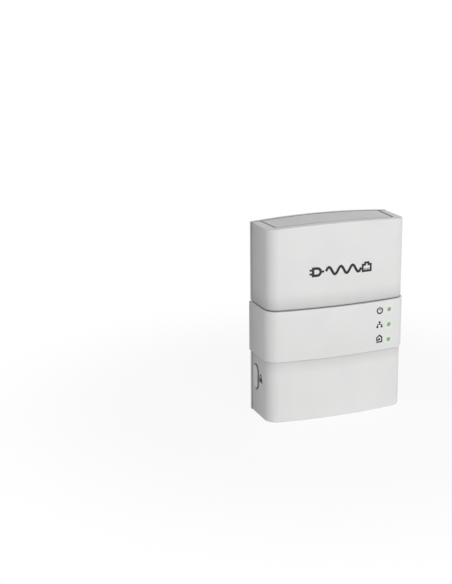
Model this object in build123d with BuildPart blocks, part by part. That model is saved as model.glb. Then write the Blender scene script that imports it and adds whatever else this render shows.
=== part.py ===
"""Powerline adapter: a slim upright housing with a proud middle belt and a round mains plug behind.

The origin is the plug's axis at the face that meets the wall. +X is right, +Y goes into the
wall, +Z is up. All sizes are in millimetres.
"""

from build123d import *
import os

os.makedirs("parts", exist_ok=True)

# ---- driving dimensions ----
# housing
WIDTH = 62.0  # across the housing, without the belt
DEPTH = 22.3  # wall face to the middle of the front
BULGE = 2.6  # how far the front bows out between its corners
CORNER = 5.3  # radius of the upright front corners
TOP_Z = 20.35  # top of the housing at its sides
DOME = 1.3  # rise of the top at its middle
BOTTOM_Z = -61.65
WALL = 2.2
COVER = 1.6  # thickness of the rear cover
PARTING = 0.3  # gap between the rear cover and the front housing
EDGE_ROUND = 0.5  # small round on the outer edges of the moulding

# belt around the middle
BELT_TOP = -13.5
BELT_BOTTOM = -35.25
BELT_PROUD = 0.6
BELT_SINK = 1.0  # depth of the belt's seat in the housing
BELT_CLEAR = 0.15  # between the belt and its seat
BELT_GAP = 0.45  # open line above the belt
BELT_BACK = -0.2  # the belt's ends, just short of the wall face
BELT_ROUND_LOW = 0.45
BELT_ROUND_TOP = 0.2

# panel let into the top
PANEL_HALF_FRONT = 26.3
PANEL_HALF_BACK = 27.1
PANEL_FRONT_RIM = 3.85  # from the front of the housing to the panel
PANEL_THICK = 1.2
PANEL_GAP = 0.3
PANEL_CORNER = 1.6

# mains plug
BOSS_R = 18.25
BOSS_LONG = 17.0
BOSS_WALL = 3.0
BOSS_END = 3.5
PIN_R = 2.4
PIN_LONG = 19.0
PIN_TIP = 1.6  # length of the rounded tip
PIN_PITCH = 19.0
PIN_NECK_R = 1.9
PIN_HEAD_R = 3.2
PIN_HEAD = 1.6
CLIP_WIDE = 7.6
CLIP_THICK = 0.8
CLIP_SEAT_Z = 16.3  # floor of the grooves that carry the earth clips
KEY_WIDE = 4.0  # guide grooves at the sides of the plug
KEY_DEEP = 1.2
EARTH_Z = 10.0  # earth-pin socket above the pins
EARTH_R = 2.45
EARTH_DEEP = 12.0
EARTH_TUBE = 2.1  # from the earth socket to the outside of its tube
EARTH_END = 1.2  # thickness of the tube's closed end
SLEEVE_THICK = 0.75
SLEEVE_SINK = 0.2  # from the plug's end to the sleeve
PLUG_CHAMFER = 1.0
CLIP_SIDE_GAP = 0.2  # beside an earth clip in its groove
CLIP_FOOT = 0.7  # from the wall face to the start of a clip
CLIP_FOOT_DROP = 0.3  # a groove's foot is sunk below the wall face by this much
CLIP_HOOK = 2.4  # how far a clip reaches in over the plug's end
CLIP_HOOK_GAP = 0.2

# circuit board
BOARD_FRONT_Y = -4.5
BOARD_THICK = 1.6
BOARD_MARGIN = 1.3  # from the housing's inner walls
LEAD_R = 0.8

# Ethernet socket in the bottom
JACK_WIDE = 16.0
JACK_HIGH = 13.2
JACK_LONG = 16.0
JACK_SET_IN = 0.4
CAVITY_WIDE = 11.8
CAVITY_HIGH = 7.0
CAVITY_LONG = 13.0
LATCH_WIDE = 6.4
LATCH_HIGH = 2.2
CONTACT_COUNT = 8
CONTACT_PITCH = 1.02
CONTACT_R = 0.22
JACK_FLOOR = 2.5  # from the board to the cavity
JACK_CHAMFER = 0.6
CONTACT_START = 2.2  # from the socket's mouth to its contacts
CONTACT_LIFT = 1.7  # the contacts' rise at their inner ends

# push button in the left side
BUTTON_Z = -45.2
BUTTON_Y = -6.05
BUTTON_LONG = 10.4
BUTTON_WIDE = 5.4
BUTTON_GAP = 0.3
BUTTON_PROUD = 0.3
BUTTON_EAR = 1.6
BUTTON_FLANGE = 1.0
BUTTON_TRAVEL = 0.6
BUTTON_ROUND = 0.35
SWITCH_WIDE = 3.6
SWITCH_HIGH = 3.4
SWITCH_TALL = 6.0
SWITCH_STAND = 1.6  # from the button to the switch
SWITCH_BORE_R = 1.0
SWITCH_BORE = 1.8
PLUNGER_R = 0.9

# status lights
LIGHT_INSET = 7.8  # from the right side to the column of lights
LIGHT_TOP_Z = -17.6
LIGHT_PITCH = 6.6
LIGHT_COUNT = 3
LIGHT_R = 0.85
LIGHT_CLEAR = 0.1  # around a light pipe
LED_WIDE = 1.6
LED_TALL = 0.8
PIPE_FOOT = 1.1  # from the board to the light pipes
PIPE_SET_IN = 0.1  # from the belt's face to the pipes' ends
BRIDGE_WIDE = 2.4  # strip that joins the light pipes
BRIDGE_THICK = 1.4
BRIDGE_FOOT = 10.2

# screws
SCREW_INSET = 6.5  # from the sides
SCREW_END_INSET = 6.4  # from the bottom and from the top at the sides
SCREW_R = 1.5
SCREW_HEAD_R = 2.75
SCREW_LONG = 10.0
SCREW_HEAD = 1.6
SCREW_SINK = 0.4  # from the wall face to the screw heads
SCREW_HEAD_GAP = 0.25
SCREW_HOLE_GAP = 0.15
CROSS_LONG = 3.2
CROSS_WIDE = 0.8
CROSS_DEEP = 0.9
POST_R = 3.0
POST_SET_BACK = 2.0  # from the rear cover to the ends of the posts
COVER_BOSS_EXTRA = 0.6  # how much wider the cover's bosses are than the posts
COVER_BOSS = 1.8

# ribs that stop the board
RIB_TOP_Z = -7.1
RIB_THICK = 2.0
RIB_REACH = 2.0  # from the housing's inner walls
RIB_LONG = 11.0
RIB_ROOT = 0.5  # how far a rib is let into the wall

# rear cover
LIP_CLEAR = 0.2  # between the cover's lip and the housing's walls
LIP_THICK = 1.0
LIP_HIGH = 1.1
PEG_X = 21.0
PEG_R = 1.5
PEG_TOP_INSET = 12.0
PEG_LOW_INSET = 16.0
LABEL_WIDE = 36.0
LABEL_TALL = 17.0
LABEL_RISE = 22.0  # from the bottom to the label's middle
LABEL_CORNER = 1.0
LABEL_THICK = 0.15
LABEL_SINK = 0.1  # from the wall face to the label
LABEL_SEAT_GAP = 0.2

# parts on the board: centre (x, z), then sizes across, up and off the board
MAGNETICS_SIZE = (12.6, 7.2, 5.6)
MAGNETICS_RISE = 4.8  # from the Ethernet socket to the middle of the transformer
MAGNETICS_LEADS = 8
MAGNETICS_PITCH = 1.4
FUSE_AT = (-21.0, 4.0)
FUSE_R = 4.1
FUSE_HIGH = 7.6
VARISTOR_AT = (-20.0, -7.0)
VARISTOR_R = 4.6
VARISTOR_THICK = 4.0
VARISTOR_LEAD_PITCH = 5.0
X_CAPACITOR_AT = (-12.0, 11.4)
X_CAPACITOR_SIZE = (12.6, 5.6, 11.0)
CHOKE_AT = (-10.0, -10.0)
CHOKE_R = 5.2
CHOKE_BORE_R = 2.6
CHOKE_HIGH = 5.0
CHOKE_FOOT = 0.7
CHOKE_TURNS = 22
CHOKE_WIRE = 0.5
Y_CAPACITOR_AT = (0.0, -5.2)
Y_CAPACITOR_R = 3.6
Y_CAPACITOR_THICK = 3.0
BRIDGE_AT = (1.5, 11.4)
BRIDGE_SIZE = (8.2, 6.2, 3.2)
BULK_AT = ((14.0, 9.8), (21.4, 2.4))
BULK_R = 4.7
BULK_HIGH = 12.5
FLYBACK_AT = (14.4, -10.2)
COUPLING_AT = (-20.6, -17.2)
COUPLING_SIZE = (8.8, 7.8, 6.2)
MAIN_CHIP_AT = (5.0, -28.0)
MAIN_CHIP_WIDE = 12.0
MAIN_CHIP_HIGH = 1.1
SPREADER_WIDE = 14.0
SPREADER_HIGH = 6.4
SPREADER_BASE = 1.6
SPREADER_SLOTS = 5
SPREADER_PITCH = 2.5
SPREADER_SLOT = 1.4
MEMORY_AT = (-8.0, -25.5)
MEMORY_SIZE = (8.2, 5.4)
MEMORY_LEADS = 10
ETHERNET_CHIP_AT = (-10.5, -34.5)
ETHERNET_CHIP_SIZE = (6.0, 6.0)
ETHERNET_CHIP_LEADS = 8
CRYSTAL_AT = (-18.6, -29.0)
CRYSTAL_SIZE = (10.2, 3.8, 3.0)
CRYSTAL_BRIM = 0.4
OUTPUT_AT = ((17.0, -38.5), (17.0, -46.5))
OUTPUT_R = 3.15
OUTPUT_HIGH = 8.0
INDUCTOR_X = 16.5
INDUCTOR_RISE = 4.6  # from the board's lower edge
INDUCTOR_SIZE = (6.0, 6.0, 3.4)

SLIP = 0.05  # small running gap
GAP = 0.3  # ordinary gap between separate mouldings

# ---- derived places ----
HALF = WIDTH / 2
INNER_HALF = HALF - WALL
HOUSING_BACK = -COVER - PARTING
FRONT_INNER_Y = -DEPTH + WALL
BOARD_BACK_Y = BOARD_FRONT_Y + BOARD_THICK
BOARD_HALF = INNER_HALF - BOARD_MARGIN
BOARD_TOP = TOP_Z - WALL - 1.6
BOARD_BOTTOM = BOTTOM_Z + WALL + 1.0
JACK_FACE_Z = BOTTOM_Z + JACK_SET_IN
JACK_BACK_Z = JACK_FACE_Z + JACK_LONG
CAVITY_FRONT_Y = BOARD_FRONT_Y - JACK_HIGH + JACK_FLOOR
CAVITY_REAR_Y = CAVITY_FRONT_Y + CAVITY_HIGH
LIGHT_X = HALF - LIGHT_INSET
LIGHT_ZS = [LIGHT_TOP_Z - row * LIGHT_PITCH for row in range(LIGHT_COUNT)]
SCREW_SPOTS = [
    (side * (HALF - SCREW_INSET), z)
    for side in (-1, 1)
    for z in (TOP_Z - SCREW_END_INSET, BOTTOM_Z + SCREW_END_INSET)
]
PEG_SPOTS = [
    (side * PEG_X, z)
    for side in (-1, 1)
    for z in (TOP_Z - PEG_TOP_INSET, BOTTOM_Z + PEG_LOW_INSET)
]
BOSS_INNER_R = BOSS_R - BOSS_WALL
BOSS_FLOOR_Y = BOSS_LONG - BOSS_END
BUTTON_INNER_X = -INNER_HALF + SLIP * 3 + BUTTON_FLANGE
SWITCH_X = BUTTON_INNER_X + SWITCH_STAND  # outer face of the switch body
LABEL_Z = BOTTOM_Z + LABEL_RISE
MIDDLE_Z = (TOP_Z + BOTTOM_Z) / 2
RIB_LOW_Z = BUTTON_Z + BUTTON_LONG / 2 + BUTTON_EAR + GAP + RIB_THICK / 2

UPRIGHT = (Align.CENTER, Align.CENTER, Align.MIN)
TOWARDS_FRONT = (90, 0, 0)
TOWARDS_WALL = (-90, 0, 0)


def plan_outline(inset, back_y):
    """Outline of the body seen from above, moved inwards by inset."""
    half = HALF - inset
    front_y = -DEPTH + inset
    side_y = front_y + BULGE * (half / HALF) ** 2
    with BuildSketch() as outline:
        with BuildLine():
            Polyline((half, side_y), (half, back_y), (-half, back_y), (-half, side_y))
            ThreePointArc((-half, side_y), (0, front_y), (half, side_y))
        make_face()
        fillet(outline.vertices().group_by(Axis.Y)[0], radius=CORNER - inset)
    return outline.sketch


def body_block(inset, back_y):
    """The whole body as one solid with its domed top, moved inwards by inset."""
    low = BOTTOM_Z + inset
    dome_top = TOP_Z - inset + DOME
    dome_half = WIDTH  # the arch runs on past the sides, so that they cut it cleanly
    dome_foot = dome_top - DOME * (dome_half / HALF) ** 2
    reach = 2 * DEPTH
    with BuildPart() as block:
        with BuildSketch(Plane.XY.offset(low)):
            add(plan_outline(inset, back_y))
        extrude(amount=dome_top + 1 - low)
        with BuildSketch(Plane.XZ.offset(-reach)):
            with BuildLine():
                Polyline(
                    (dome_half, dome_foot),
                    (dome_half, low),
                    (-dome_half, low),
                    (-dome_half, dome_foot),
                )
                ThreePointArc((-dome_half, dome_foot), (0, dome_top), (dome_half, dome_foot))
            make_face()
        extrude(amount=2 * reach, mode=Mode.INTERSECT)
    return block.part


def band(outer_inset, inner_inset, low, high, back_y):
    """A wrap around the front and both sides, open at the back."""
    with BuildPart() as wrap:
        with BuildSketch(Plane.XY.offset(low)):
            add(plan_outline(outer_inset, back_y))
            add(plan_outline(inner_inset, back_y + 1), mode=Mode.SUBTRACT)
        extrude(amount=high - low)
    return wrap.part


def panel_prism(spread):
    """Upright prism over the top panel's outline, widened by spread."""
    front_y = -DEPTH + PANEL_FRONT_RIM - spread
    half_front = PANEL_HALF_FRONT + spread
    half_back = PANEL_HALF_BACK + spread
    side_y = front_y + BULGE * (half_front / HALF) ** 2
    with BuildPart() as prism:
        with BuildSketch(Plane.XY.offset(TOP_Z - 5)) as outline:
            with BuildLine():
                Polyline(
                    (half_front, side_y),
                    (half_back, HOUSING_BACK),
                    (-half_back, HOUSING_BACK),
                    (-half_front, side_y),
                )
                ThreePointArc((-half_front, side_y), (0, front_y), (half_front, side_y))
            make_face()
            fillet(outline.vertices().group_by(Axis.Y)[0], radius=PANEL_CORNER + spread)
        extrude(amount=5 + DOME + 1)
    return prism.part


def board_block(at, wide, tall, high, foot=0.0):
    """A box standing on the board: its centre, its sides and its height off the board."""
    with Locations((at[0], BOARD_FRONT_Y - foot - high / 2, at[1])):
        Box(wide, high, tall)


def board_can(at, radius, high, foot=0.0):
    """A round can standing on the board."""
    with Locations((at[0], BOARD_FRONT_Y - foot, at[1])):
        Cylinder(radius, high, rotation=TOWARDS_FRONT, align=UPRIGHT)


def towards(side):
    """Alignment that grows away from the middle on that side."""
    return Align.MIN if side > 0 else Align.MAX


# ---- front housing ----
with BuildPart() as front_housing:
    add(body_block(0, HOUSING_BACK))
    fillet(front_housing.faces().sort_by(Axis.Z)[0].edges().filter_by(Axis.Y, reverse=True)
           .group_by(Axis.Y)[:-1], radius=EDGE_ROUND)
    fillet(front_housing.faces().sort_by(Axis.Z)[-1].edges().group_by(Axis.Y)[:-1],
           radius=EDGE_ROUND)
    add(body_block(WALL, 0), mode=Mode.SUBTRACT)
    # seat of the belt
    add(
        band(-WALL, BELT_SINK, BELT_BOTTOM - BELT_CLEAR, BELT_TOP + BELT_GAP, 0),
        mode=Mode.SUBTRACT,
    )
    # seat of the top panel
    add(
        panel_prism(PANEL_GAP) - body_block(PANEL_THICK + BELT_CLEAR, 1),
        mode=Mode.SUBTRACT,
    )
    # screw posts
    with BuildSketch(Plane.XZ.offset(COVER + POST_SET_BACK)):
        with Locations(*SCREW_SPOTS):
            Circle(POST_R)
    extrude(until=Until.NEXT)
    with BuildSketch(Plane.XZ.offset(COVER + POST_SET_BACK)):
        with Locations(*SCREW_SPOTS):
            Circle(SCREW_R + SLIP)
    extrude(amount=SCREW_LONG, mode=Mode.SUBTRACT)
    # ribs that stop the board
    for side in (-1, 1):
        for z in (RIB_TOP_Z, RIB_LOW_Z):
            with BuildSketch(Plane.XY.offset(z - RIB_THICK / 2)):
                with Locations((side * (INNER_HALF + RIB_ROOT), BOARD_FRONT_Y)):
                    Rectangle(RIB_REACH + RIB_ROOT, RIB_LONG, align=(towards(-side), Align.MAX))
            extrude(amount=RIB_THICK)
    # opening for the Ethernet socket, open towards the rear cover
    with Locations((0, HOUSING_BACK, BOTTOM_Z)):
        Box(
            JACK_WIDE + 2 * GAP,
            HOUSING_BACK - BOARD_FRONT_Y + JACK_HIGH + GAP,
            3 * WALL,
            align=(Align.CENTER, Align.MAX, Align.CENTER),
            mode=Mode.SUBTRACT,
        )
    # hole for the button
    with BuildSketch(Plane.YZ.offset(-HALF - 1)):
        with Locations((BUTTON_Y, BUTTON_Z)):
            SlotOverall(BUTTON_LONG + 2 * BUTTON_GAP, BUTTON_WIDE + 2 * BUTTON_GAP, rotation=90)
    extrude(amount=WALL + 2, mode=Mode.SUBTRACT)
    # holes for the status lights
    with BuildSketch(Plane.XZ.offset(-FRONT_INNER_Y - WALL)):
        with Locations(*[(LIGHT_X, z) for z in LIGHT_ZS]):
            Circle(LIGHT_R + LIGHT_CLEAR)
    extrude(amount=WALL * 3, both=True, mode=Mode.SUBTRACT)

# ---- belt ----
with BuildPart() as middle_belt:
    with BuildSketch(Plane.XY.offset(BELT_BOTTOM)):
        add(plan_outline(-BELT_PROUD, BELT_BACK))
    extrude(amount=BELT_TOP - BELT_BOTTOM)
    fillet(
        middle_belt.faces().sort_by(Axis.Z)[0].edges().group_by(Axis.Y)[:-1],
        radius=BELT_ROUND_LOW,
    )
    fillet(
        middle_belt.faces().sort_by(Axis.Z)[-1].edges().group_by(Axis.Y)[:-1],
        radius=BELT_ROUND_TOP,
    )
    with BuildSketch(Plane.XY.offset(BELT_BOTTOM)):
        add(plan_outline(BELT_SINK - BELT_CLEAR, BELT_BACK + 1))
    extrude(amount=BELT_TOP - BELT_BOTTOM, mode=Mode.SUBTRACT)
    with BuildSketch(Plane.XZ.offset(DEPTH / 2)):
        with Locations(*[(LIGHT_X, z) for z in LIGHT_ZS]):
            Circle(LIGHT_R + LIGHT_CLEAR)
    extrude(amount=DEPTH, mode=Mode.SUBTRACT)

# ---- top panel ----
with BuildPart() as top_panel:
    add(panel_prism(0))
    add(body_block(0.08, 1), mode=Mode.INTERSECT)
    add(body_block(PANEL_THICK, 1), mode=Mode.SUBTRACT)

# ---- rear cover with the plug's body ----
with BuildPart() as rear_cover:
    add(body_block(0, 0))
    with Locations((0, -COVER, MIDDLE_Z)):
        Box(
            2 * WIDTH,
            2 * DEPTH,
            2 * (TOP_Z - BOTTOM_Z),
            align=(Align.CENTER, Align.MAX, Align.CENTER),
            mode=Mode.SUBTRACT,
        )
    # locating lip inside the housing
    lip_wide = WIDTH - 2 * (WALL + LIP_CLEAR)
    lip_tall = TOP_Z - BOTTOM_Z - 2 * (WALL + LIP_CLEAR)
    with BuildSketch(Plane.XZ.offset(COVER)):
        with Locations((0, MIDDLE_Z)):
            Rectangle(lip_wide, lip_tall)
            Rectangle(lip_wide - 2 * LIP_THICK, lip_tall - 2 * LIP_THICK, mode=Mode.SUBTRACT)
    extrude(amount=LIP_HIGH)
    # seats of the belt's ends
    add(
        band(-WALL, BELT_SINK, BELT_BOTTOM - BELT_CLEAR, BELT_TOP + BELT_GAP, 1),
        mode=Mode.SUBTRACT,
    )
    # tab that closes the housing's opening behind the Ethernet socket
    with Locations((0, -COVER, BOTTOM_Z)):
        Box(
            JACK_WIDE,
            -BOARD_FRONT_Y - COVER - GAP,
            WALL,
            align=(Align.CENTER, Align.MAX, Align.MIN),
        )
    # pegs behind the board
    with BuildSketch(Plane.XZ.offset(COVER)):
        with Locations(*PEG_SPOTS):
            Circle(PEG_R)
    extrude(amount=-BOARD_BACK_Y - COVER)
    # screw bosses, counterbores and holes
    with BuildSketch(Plane.XZ.offset(COVER)):
        with Locations(*SCREW_SPOTS):
            Circle(POST_R + COVER_BOSS_EXTRA)
    extrude(amount=COVER_BOSS)
    with BuildSketch(Plane.XZ):
        with Locations(*SCREW_SPOTS):
            Circle(SCREW_HEAD_R + SCREW_HEAD_GAP)
    extrude(amount=SCREW_SINK + SCREW_HEAD, mode=Mode.SUBTRACT)
    with BuildSketch(Plane.XZ):
        with Locations(*SCREW_SPOTS):
            Circle(SCREW_R + SCREW_HOLE_GAP)
    extrude(amount=COVER + COVER_BOSS + 1, mode=Mode.SUBTRACT)
    # plug body
    with Locations((0, -COVER / 2, 0)):
        Cylinder(BOSS_R, BOSS_LONG + COVER / 2, rotation=TOWARDS_WALL, align=UPRIGHT)
    chamfer(rear_cover.edges().sort_by(Axis.Y)[-1], length=PLUG_CHAMFER)
    with BuildSketch(Plane.XZ.offset(COVER + 1)):
        Circle(BOSS_INNER_R)
    extrude(amount=-BOSS_FLOOR_Y - COVER - 1, mode=Mode.SUBTRACT)
    # tube for the earth-pin socket
    with BuildSketch(Plane.XZ.offset(-BOSS_FLOOR_Y)):
        with Locations((0, EARTH_Z)):
            Circle(EARTH_R + EARTH_TUBE)
    extrude(amount=EARTH_DEEP - BOSS_END + EARTH_END)
    with BuildSketch(Plane.XZ.offset(-BOSS_LONG)):
        with Locations((0, EARTH_Z)):
            Circle(EARTH_R + SLEEVE_THICK + SLIP)
    extrude(amount=EARTH_DEEP, mode=Mode.SUBTRACT)
    # holes of the pins
    with BuildSketch(Plane.XZ.offset(-BOSS_LONG)):
        with GridLocations(PIN_PITCH, 1, 2, 1):
            Circle(PIN_NECK_R + SLIP)
    extrude(amount=BOSS_END + 1, mode=Mode.SUBTRACT)
    # grooves of the earth clips, along the side and over the end
    groove_wide = CLIP_WIDE + 2 * CLIP_SIDE_GAP
    for side in (-1, 1):
        with Locations((0, 0, side * CLIP_SEAT_Z)):
            Box(
                groove_wide,
                BOSS_LONG,
                BOSS_R,
                align=(Align.CENTER, Align.MIN, towards(side)),
                mode=Mode.SUBTRACT,
            )
            Box(
                groove_wide,
                2 * CLIP_FOOT_DROP,
                BOSS_R - CLIP_SEAT_Z,
                align=(Align.CENTER, Align.CENTER, towards(side)),
                mode=Mode.SUBTRACT,
            )
        with Locations((0, BOSS_LONG, side * (CLIP_SEAT_Z - CLIP_HOOK - CLIP_HOOK_GAP))):
            Box(
                groove_wide,
                2 * (CLIP_THICK + 2 * SLIP),
                BOSS_R,
                align=(Align.CENTER, Align.CENTER, towards(side)),
                mode=Mode.SUBTRACT,
            )
        # guide grooves
        with Locations((side * (BOSS_R - KEY_DEEP), 0, 0)):
            Box(
                BOSS_R,
                BOSS_LONG,
                KEY_WIDE,
                align=(towards(side), Align.MIN, Align.CENTER),
                mode=Mode.SUBTRACT,
            )
    # shallow seat of the rating label
    with Locations((0, 0, LABEL_Z)):
        Box(
            LABEL_WIDE + 2 * LABEL_SEAT_GAP,
            2 * (LABEL_THICK + LABEL_SINK),
            LABEL_TALL + 2 * LABEL_SEAT_GAP,
            mode=Mode.SUBTRACT,
        )

# ---- rating label ----
with BuildPart() as rating_label:
    with BuildSketch(Plane.XZ.offset(LABEL_SINK)):
        with Locations((0, LABEL_Z)):
            RectangleRounded(LABEL_WIDE, LABEL_TALL, LABEL_CORNER)
    extrude(amount=LABEL_THICK)

# ---- plug pins ----
with BuildPart() as contact_pins:
    pin_steps = (
        (PIN_HEAD_R, BOSS_FLOOR_Y - PIN_HEAD, BOSS_FLOOR_Y),
        (PIN_NECK_R, BOSS_FLOOR_Y, BOSS_LONG),
        (PIN_R, BOSS_LONG, BOSS_LONG + PIN_LONG),
    )
    for radius, start_y, end_y in pin_steps:
        with Locations(*[(side * PIN_PITCH / 2, start_y, 0) for side in (-1, 1)]):
            Cylinder(radius, end_y - start_y, rotation=TOWARDS_WALL, align=UPRIGHT)
    fillet(contact_pins.edges().group_by(Axis.Y)[-1], radius=PIN_TIP)

# ---- leads from the pins to the board ----
with BuildPart() as pin_leads:
    with BuildSketch(Plane.XZ.offset(-BOARD_FRONT_Y + 1.0)):
        with GridLocations(PIN_PITCH, 1, 2, 1):
            Circle(LEAD_R)
    extrude(amount=-(BOSS_FLOOR_Y - PIN_HEAD - BOARD_FRONT_Y + 1.0))

# ---- earth contacts ----
with BuildPart() as earth_clips:
    for side in (-1, 1):
        with BuildSketch(Plane.YZ):
            with Locations((CLIP_FOOT, side * CLIP_SEAT_Z)):
                Rectangle(BOSS_LONG - CLIP_FOOT, CLIP_THICK, align=(Align.MIN, towards(side)))
            with Locations((BOSS_LONG, side * (CLIP_SEAT_Z + CLIP_THICK))):
                Rectangle(CLIP_THICK, CLIP_THICK + CLIP_HOOK, align=(Align.MAX, towards(-side)))
        extrude(amount=CLIP_WIDE / 2, both=True)

with BuildPart() as earth_sleeve:
    with BuildSketch(Plane.XZ.offset(-BOSS_LONG + SLEEVE_SINK)):
        with Locations((0, EARTH_Z)):
            Circle(EARTH_R + SLEEVE_THICK)
            Circle(EARTH_R, mode=Mode.SUBTRACT)
    extrude(amount=EARTH_DEEP - SLEEVE_SINK)

# ---- circuit board ----
with BuildPart() as main_board:
    with Locations((0, BOARD_BACK_Y, (BOARD_TOP + BOARD_BOTTOM) / 2)):
        Box(
            2 * BOARD_HALF,
            BOARD_THICK,
            BOARD_TOP - BOARD_BOTTOM,
            align=(Align.CENTER, Align.MAX, Align.CENTER),
        )
    with BuildSketch(Plane.XZ):
        with Locations(*SCREW_SPOTS):
            Rectangle(2 * (POST_R + 0.9), 2 * (POST_R + 0.9))
        with GridLocations(PIN_PITCH, 1, 2, 1):
            Circle(LEAD_R + SLIP)
        with Locations((-BOARD_HALF, BUTTON_Z)):
            Rectangle(2 * (SWITCH_X - BUTTON_INNER_X + 1.0), BUTTON_LONG + 2 * BUTTON_EAR + 1.6)
        with Locations((0, BOARD_BOTTOM)):
            Rectangle(JACK_WIDE + 1.0, 2.4)
    extrude(amount=DEPTH, mode=Mode.SUBTRACT)

# ---- Ethernet socket ----
with BuildPart() as ethernet_jack:
    with Locations((0, BOARD_FRONT_Y, JACK_FACE_Z)):
        Box(JACK_WIDE, JACK_HIGH, JACK_LONG, align=(Align.CENTER, Align.MAX, Align.MIN))
    chamfer(ethernet_jack.edges().filter_by(Axis.Z).group_by(Axis.Y)[0], length=JACK_CHAMFER)
    with Locations((0, CAVITY_FRONT_Y, JACK_FACE_Z)):
        Box(
            CAVITY_WIDE,
            CAVITY_HIGH,
            CAVITY_LONG,
            align=(Align.CENTER, Align.MIN, Align.MIN),
            mode=Mode.SUBTRACT,
        )
    with Locations((0, CAVITY_REAR_Y, JACK_FACE_Z)):
        Box(
            LATCH_WIDE,
            LATCH_HIGH,
            CAVITY_LONG - 3,
            align=(Align.CENTER, Align.MIN, Align.MIN),
            mode=Mode.SUBTRACT,
        )
    chamfer(
        ethernet_jack.faces().sort_by(Axis.Z)[0].inner_wires()[0].edges().filter_by(Axis.X)
        .sort_by(Axis.Y)[0],
        length=0.5,
    )

with BuildPart() as jack_contacts:
    contact_spots = [
        ((index - (CONTACT_COUNT - 1) / 2) * CONTACT_PITCH, 0, 0) for index in range(CONTACT_COUNT)
    ]
    spring_start = (0, CAVITY_FRONT_Y + CONTACT_R + SLIP, JACK_FACE_Z + CONTACT_START)
    spring_end = (0, CAVITY_FRONT_Y + CONTACT_LIFT, JACK_FACE_Z + CAVITY_LONG - SLIP)
    spring_axis = Vector(spring_end) - Vector(spring_start)
    for spot in contact_spots:
        with BuildSketch(Plane(origin=Vector(spring_start) + Vector(spot), z_dir=spring_axis)):
            Circle(CONTACT_R)
        extrude(amount=spring_axis.length - CONTACT_R)

# ---- network transformer ----
with BuildPart() as network_magnetics:
    magnetics_z = JACK_BACK_Z + MAGNETICS_RISE
    board_block((0, magnetics_z), *MAGNETICS_SIZE, foot=2 * SLIP)
    chamfer(network_magnetics.edges().filter_by(Axis.Y), length=0.4)
    for side in (-1, 1):
        for lead in range(MAGNETICS_LEADS):
            lead_x = (lead - (MAGNETICS_LEADS - 1) / 2) * MAGNETICS_PITCH
            lead_z = magnetics_z + side * MAGNETICS_SIZE[1] / 2
            with Locations((lead_x, BOARD_FRONT_Y, lead_z)):
                Box(0.5, 2.0, 0.7, align=(Align.CENTER, Align.MAX, towards(side)))

# ---- mains input parts ----
with BuildPart() as fuse:
    board_can(FUSE_AT, FUSE_R, FUSE_HIGH)
    fillet(fuse.edges().sort_by(Axis.Y)[0], radius=0.6)

with BuildPart() as varistor:
    with BuildSketch(Plane.XY.offset(VARISTOR_AT[1] - VARISTOR_THICK / 2)):
        with Locations((VARISTOR_AT[0], BOARD_FRONT_Y - VARISTOR_R - 1.3)):
            Circle(VARISTOR_R)
    extrude(amount=VARISTOR_THICK)
    fillet(varistor.edges().filter_by(GeomType.CIRCLE), radius=1.2)
    with BuildSketch(Plane.XZ.offset(-BOARD_FRONT_Y)):
        with Locations(VARISTOR_AT):
            with GridLocations(VARISTOR_LEAD_PITCH, 1, 2, 1):
                Circle(0.35)
    extrude(amount=5)

with BuildPart() as x_capacitor:
    board_block(X_CAPACITOR_AT, *X_CAPACITOR_SIZE)
    fillet(x_capacitor.edges().filter_by(Axis.Y), radius=0.5)

with BuildPart() as choke_core:
    board_can(CHOKE_AT, CHOKE_R, CHOKE_HIGH, foot=CHOKE_FOOT)
    with BuildSketch(Plane.XZ.offset(-BOARD_FRONT_Y)):
        with Locations(CHOKE_AT):
            Circle(CHOKE_BORE_R)
    extrude(amount=2 * CHOKE_HIGH, mode=Mode.SUBTRACT)

with BuildPart() as choke_winding:
    half_turns = CHOKE_TURNS // 2
    hole_wide = CHOKE_R - CHOKE_BORE_R + 2 * SLIP
    hole_high = CHOKE_HIGH + 2 * SLIP
    for turn in range(CHOKE_TURNS):
        angle = (14 if turn < half_turns else 194) + (turn % half_turns) * 15.2
        with BuildSketch(
            Plane(
                origin=(CHOKE_AT[0], BOARD_FRONT_Y - CHOKE_FOOT - CHOKE_HIGH / 2, CHOKE_AT[1]),
                x_dir=Vector(1, 0, 0).rotate(Axis.Y, angle),
                z_dir=Vector(0, 0, 1).rotate(Axis.Y, angle),
            )
        ):
            with Locations(((CHOKE_R + CHOKE_BORE_R) / 2, 0)):
                Rectangle(hole_wide + 2 * CHOKE_WIRE, hole_high + 2 * CHOKE_WIRE)
                Rectangle(hole_wide, hole_high, mode=Mode.SUBTRACT)
        extrude(amount=0.22, both=True)

with BuildPart() as y_capacitor:
    with BuildSketch(Plane.YZ.offset(Y_CAPACITOR_AT[0] - Y_CAPACITOR_THICK / 2)):
        with Locations((BOARD_FRONT_Y - Y_CAPACITOR_R - 1.0, Y_CAPACITOR_AT[1])):
            Circle(Y_CAPACITOR_R)
    extrude(amount=Y_CAPACITOR_THICK)
    fillet(y_capacitor.edges().filter_by(GeomType.CIRCLE), radius=0.9)
    with BuildSketch(Plane.XZ.offset(-BOARD_FRONT_Y)):
        with Locations(Y_CAPACITOR_AT):
            with GridLocations(1, 4.0, 1, 2):
                Circle(0.3)
    extrude(amount=4)

with BuildPart() as bridge_rectifier:
    board_block(BRIDGE_AT, *BRIDGE_SIZE, foot=GAP)
    chamfer(bridge_rectifier.faces().sort_by(Axis.Y)[0].edges(), length=0.4)
    for side in (-1, 1):
        for lead_x in (BRIDGE_AT[0] - 2.6, BRIDGE_AT[0] + 2.6):
            with Locations((lead_x, BOARD_FRONT_Y, BRIDGE_AT[1] + side * BRIDGE_SIZE[1] / 2)):
                Box(1.2, 1.6, 0.6, align=(Align.CENTER, Align.MAX, towards(side)))

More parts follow.
